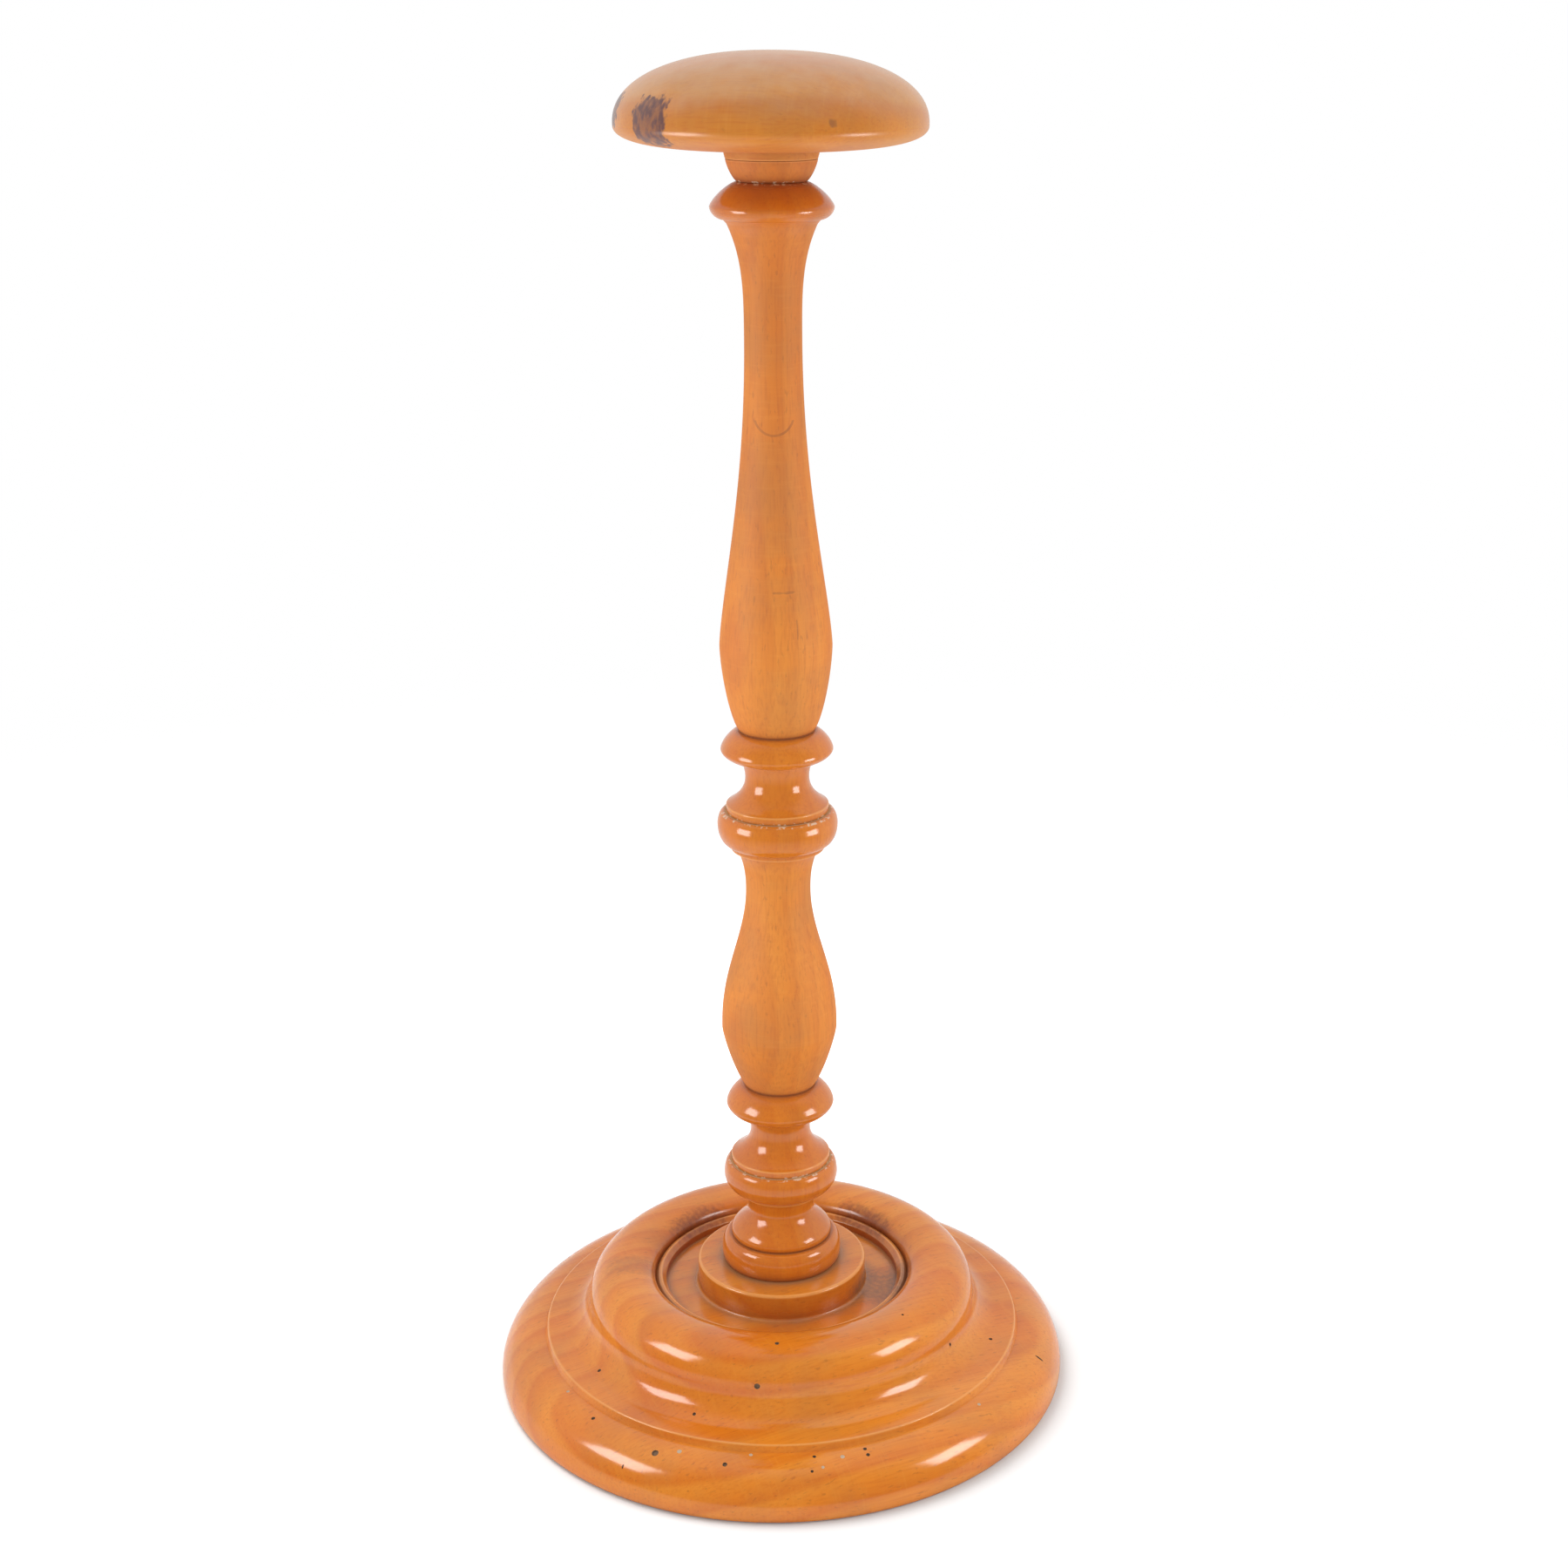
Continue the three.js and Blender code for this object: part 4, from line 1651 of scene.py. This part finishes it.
@dataclass(frozen=True)
class Studio:
    """The pale floor, the white surround and the soft lights."""

    floor_radius: float = 900  # mm
    floor_plain: float = 260  # mm, inside which the floor is whole
    level: float = 0.76  # of the surround at the horizon
    overhead: float = 0.88  # of the surround straight above
    mirrored_front: float = 0.15  # of the surround behind the camera, in the polish
    mirrored_back: float = 0.9  # of the surround behind the stand, in the polish
    card: str = "#C8C8C8"  # of the floor
    near: float = 0.1  # glow of the floor beside the foot, for the camera alone
    far: float = 0.62  # glow of the floor where the shadow has ended
    glow_reach: tuple[float, float] = (100, 200)  # mm from the axis where these two apply
    lights: tuple[SoftLight, ...] = (
        SoftLight("left soft box", (-290, -130, 235), 150, 0.28, 0.62),
        SoftLight("right soft box", (310, -130, 210), 130, 0.28, 0.50),
    )
    key: FloorKey = FloorKey()

    def build(self, foot: bpy.types.Object) -> None:
        """Makes the surround, the floor and the lights, once the foot stands there.

        Args:
            foot: the finished foot.
        """
        self._surround()
        self.key.hang(self._floor(), foot)
        for light in self.lights:
            light.hang()

    def _surround(self) -> None:
        """Makes the world white to look at and dimmer to be lit by."""
        world = bpy.data.worlds.new("white surround")
        world.use_nodes = True
        bpy.context.scene.world = world
        tree = world.node_tree
        tree.nodes.clear()
        path = add_node(tree, "LightPath").outputs
        facing = add_node(tree, "TexCoord").outputs["Generated"]
        way = add_node(tree, "SeparateXYZ", {"Vector": facing}).outputs
        strength = add_node(
            tree,
            "MapRange",
            {"Value": way["Z"], "To Min": self.level, "To Max": self.overhead},
        ).outputs["Result"]
        mirrored = add_node(
            tree,
            "MapRange",
            {
                "Value": way["Y"],
                "From Min": -0.5,
                "From Max": 0.2,
                "To Min": self.mirrored_front,
                "To Max": self.mirrored_back,
            },
            interpolation_type="SMOOTHSTEP",
        ).outputs["Result"]
        shown = add_node(
            tree,
            "Math",
            {"Value": path["Is Glossy Ray"], "Value_001": path["Is Transmission Ray"]},
            operation="MAXIMUM",
        ).outputs["Value"]
        white = linear("#FFFFFF")
        lit = add_node(tree, "Background", {"Color": white, "Strength": strength})
        mirror = add_node(tree, "Background", {"Color": white, "Strength": mirrored})
        seen = add_node(tree, "Background", {"Color": white, "Strength": 1.0})
        shiny = add_node(
            tree,
            "MixShader",
            {
                "Fac": shown,
                "Shader": lit.outputs["Background"],
                "Shader_001": mirror.outputs["Background"],
            },
        )
        both = add_node(
            tree,
            "MixShader",
            {
                "Fac": path["Is Camera Ray"],
                "Shader": shiny.outputs["Shader"],
                "Shader_001": seen.outputs["Background"],
            },
        )
        output = add_node(tree, "OutputWorld")
        tree.links.new(both.outputs["Shader"], output.inputs["Surface"])

    def _floor(self) -> bpy.types.Object:
        """Lays a round white floor that fades into the surround, and gives it.

        Returns:
            The floor.
        """
        shape = bmesh.new()
        bmesh.ops.create_circle(shape, cap_ends=True, radius=self.floor_radius * MM, segments=96)
        mesh = bpy.data.meshes.new("floor")
        shape.to_mesh(mesh)
        shape.free()
        floor = bpy.data.objects.new("floor", mesh)
        bpy.context.scene.collection.objects.link(floor)
        material, tree = new_material("matt white card")
        place = add_node(tree, "TexCoord").outputs["Object"]
        from_axis = add_node(tree, "VectorMath", {"Vector": place}, operation="LENGTH")
        faded = add_node(
            tree,
            "MapRange",
            {
                "Value": from_axis.outputs["Value"],
                "From Min": self.floor_plain * MM,
                "From Max": self.floor_radius * 0.9 * MM,
            },
            interpolation_type="SMOOTHSTEP",
        ).outputs["Result"]
        path = add_node(tree, "LightPath").outputs
        card = add_node(tree, "BsdfDiffuse", {"Color": linear(self.card)})
        lift = add_node(
            tree,
            "MapRange",
            {
                "Value": from_axis.outputs["Value"],
                "From Min": self.glow_reach[0] * MM,
                "From Max": self.glow_reach[1] * MM,
                "To Min": self.near,
                "To Max": self.far,
            },
            interpolation_type="SMOOTHSTEP",
        ).outputs["Result"]
        glow = add_node(tree, "Emission", {"Strength": lift})
        glowing = add_node(
            tree,
            "AddShader",
            {"Shader": card.outputs["BSDF"], "Shader_001": glow.outputs["Emission"]},
        )
        seen = add_node(
            tree,
            "MixShader",
            {
                "Fac": path["Is Camera Ray"],
                "Shader": card.outputs["BSDF"],
                "Shader_001": glowing.outputs["Shader"],
            },
        )
        clear = add_node(tree, "BsdfTransparent")
        both = add_node(
            tree,
            "MixShader",
            {
                "Fac": faded,
                "Shader": seen.outputs["Shader"],
                "Shader_001": clear.outputs["BSDF"],
            },
        )
        output = add_node(tree, "OutputMaterial")
        tree.links.new(both.outputs["Shader"], output.inputs["Surface"])
        mesh.materials.append(material)
        return floor


# The stand


def stand_pieces() -> list[TurnedPiece]:
    """Gives the turned pieces of the stand, from the foot up.

    Returns:
        The pieces, each with its sizes.
    """
    return [
        Foot(),
        Pedestal(),
        Spool(node="lower_spool", body="base", seat=72),
        LowerBaluster(),
        Spool(
            node="upper_spool",
            body="lower_column",
            seat=188,
            height=25.25,
            waist=(9.6, 10.6),
            bead_foot=(10.9, 16.1),
            bead=(16.8, 19.4),
            bead_top=11.3,
        ),
        UpperBaluster(),
        NeckCup(),
        Head(),
    ]


def build_wedge(bare: bpy.types.Material) -> bpy.types.Object:
    """Makes the wedge in the foot's tenon and puts it on its body.

    Args:
        bare: the material of wood off the chisel.

    Returns:
        The finished wedge.
    """
    size = WedgeSize()
    wedge = wedge_shape("tenon_wedge_split", size, size.reach, 0, TENON_RECESS)
    wedge.data.materials.append(bare)
    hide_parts("tenon_wedge")
    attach(wedge, "base")
    report(wedge, "base")
    return wedge


def wood_finishes() -> dict[str, PolishedFruitwood]:
    """Gives the polish of each slot, with the stains and marks that it has.

    Returns:
        The finish of each slot of polished wood.
    """
    return {
        "foot_wood": PolishedFruitwood(
            "polished fruitwood, foot",
            Cut.ACROSS,
            grain_turn=24,
            band=9,
            figure=0.36,
            flecked=0.4,
            dust=0.55,
            stains=(
                # a grey-brown stain of dirt on the right of the pin well, also painted shade there
                Stain(-12, 14, 26, 35, 35, "#6E4630", strength=0.6, ragged=0.7, soft=0.9),
                Stain(46, 14, 30, 36, 41, "#7A3414", strength=0.7, ragged=0.8, soft=0.9),
                Stain(134, 14, 30, 36, 41, "#7A3414", strength=0.7, ragged=0.8, soft=0.9),
                Stain(184, 7, 31, 40, 47, "#8A5030", strength=0.35, ragged=1.0, soft=0.9),
            ),
        ),
        "column_wood": PolishedFruitwood(
            "polished fruitwood, column",
            Cut.UPRIGHT,
            band=7,
            deep="#C4601C",
            figure=0.2,
            flecked=0.3,
            ripe=0.3,
            film=0.3,
            stains=(
                Stain(-80.7, 3.4, 257.6, 258.4, 14.8, "#9A5428", strength=0.45),
                Stain(-67.0, 0.25, 238, 264, 15.8, "#9A5428", strength=0.45),
                Stain(
                    -90, 5.6, 302.1, 313.3, 10.3, "#9A5428", strength=0.5, ragged=0.4, bowl=True
                ),
            ),
        ),
        "head_wood": PolishedFruitwood(
            "polished fruitwood, head",
            Cut.ACROSS,
            grain_turn=-15,
            pale="#EEA440",
            middle="#DE8A26",
            figure=0.3,
            flecked=0.2,
            gloss=0.27,
            film=0.25,
            # painted sheen on the top of the head
            bloom=0.7,
            stains=(
                Stain(-138.7, 7.2, 381, 395, 43, "#5A3C44", strength=0.9, ragged=1.5),
                Stain(-174, 8, 385, 395, 43, ragged=1.8),
                Stain(
                    -68.4, 1.3, 387, 389.6, 43, "#8A5A3C", strength=0.55, ragged=1.2, soft=0.8
                ),
            ),
        ),
    }


def main() -> None:
    """Builds the studio and the stand."""
    logging.basicConfig(level=logging.INFO, format="%(name)s: %(message)s")
    bpy.context.scene.view_settings.view_transform = "Standard"
    Viewpoint().place()
    polished = {slot: finish.material() for slot, finish in wood_finishes().items()}
    bare = BareWood().material()
    bored = HoleFilling("worm dust", "#A08468", "#5A3C28").material()
    waxed = HoleFilling("old wax", "#E0CBB0", "#A98B6A", 0.5).material()
    pieces = stand_pieces()
    shelter = Shelter(pieces)
    built = [
        piece.build(shelter, [polished[piece.slot], bare, bored, waxed]) for piece in pieces
    ]
    Studio().build(foot=built[0])
    build_wedge(bare)


if __name__ == "__main__":
    main()
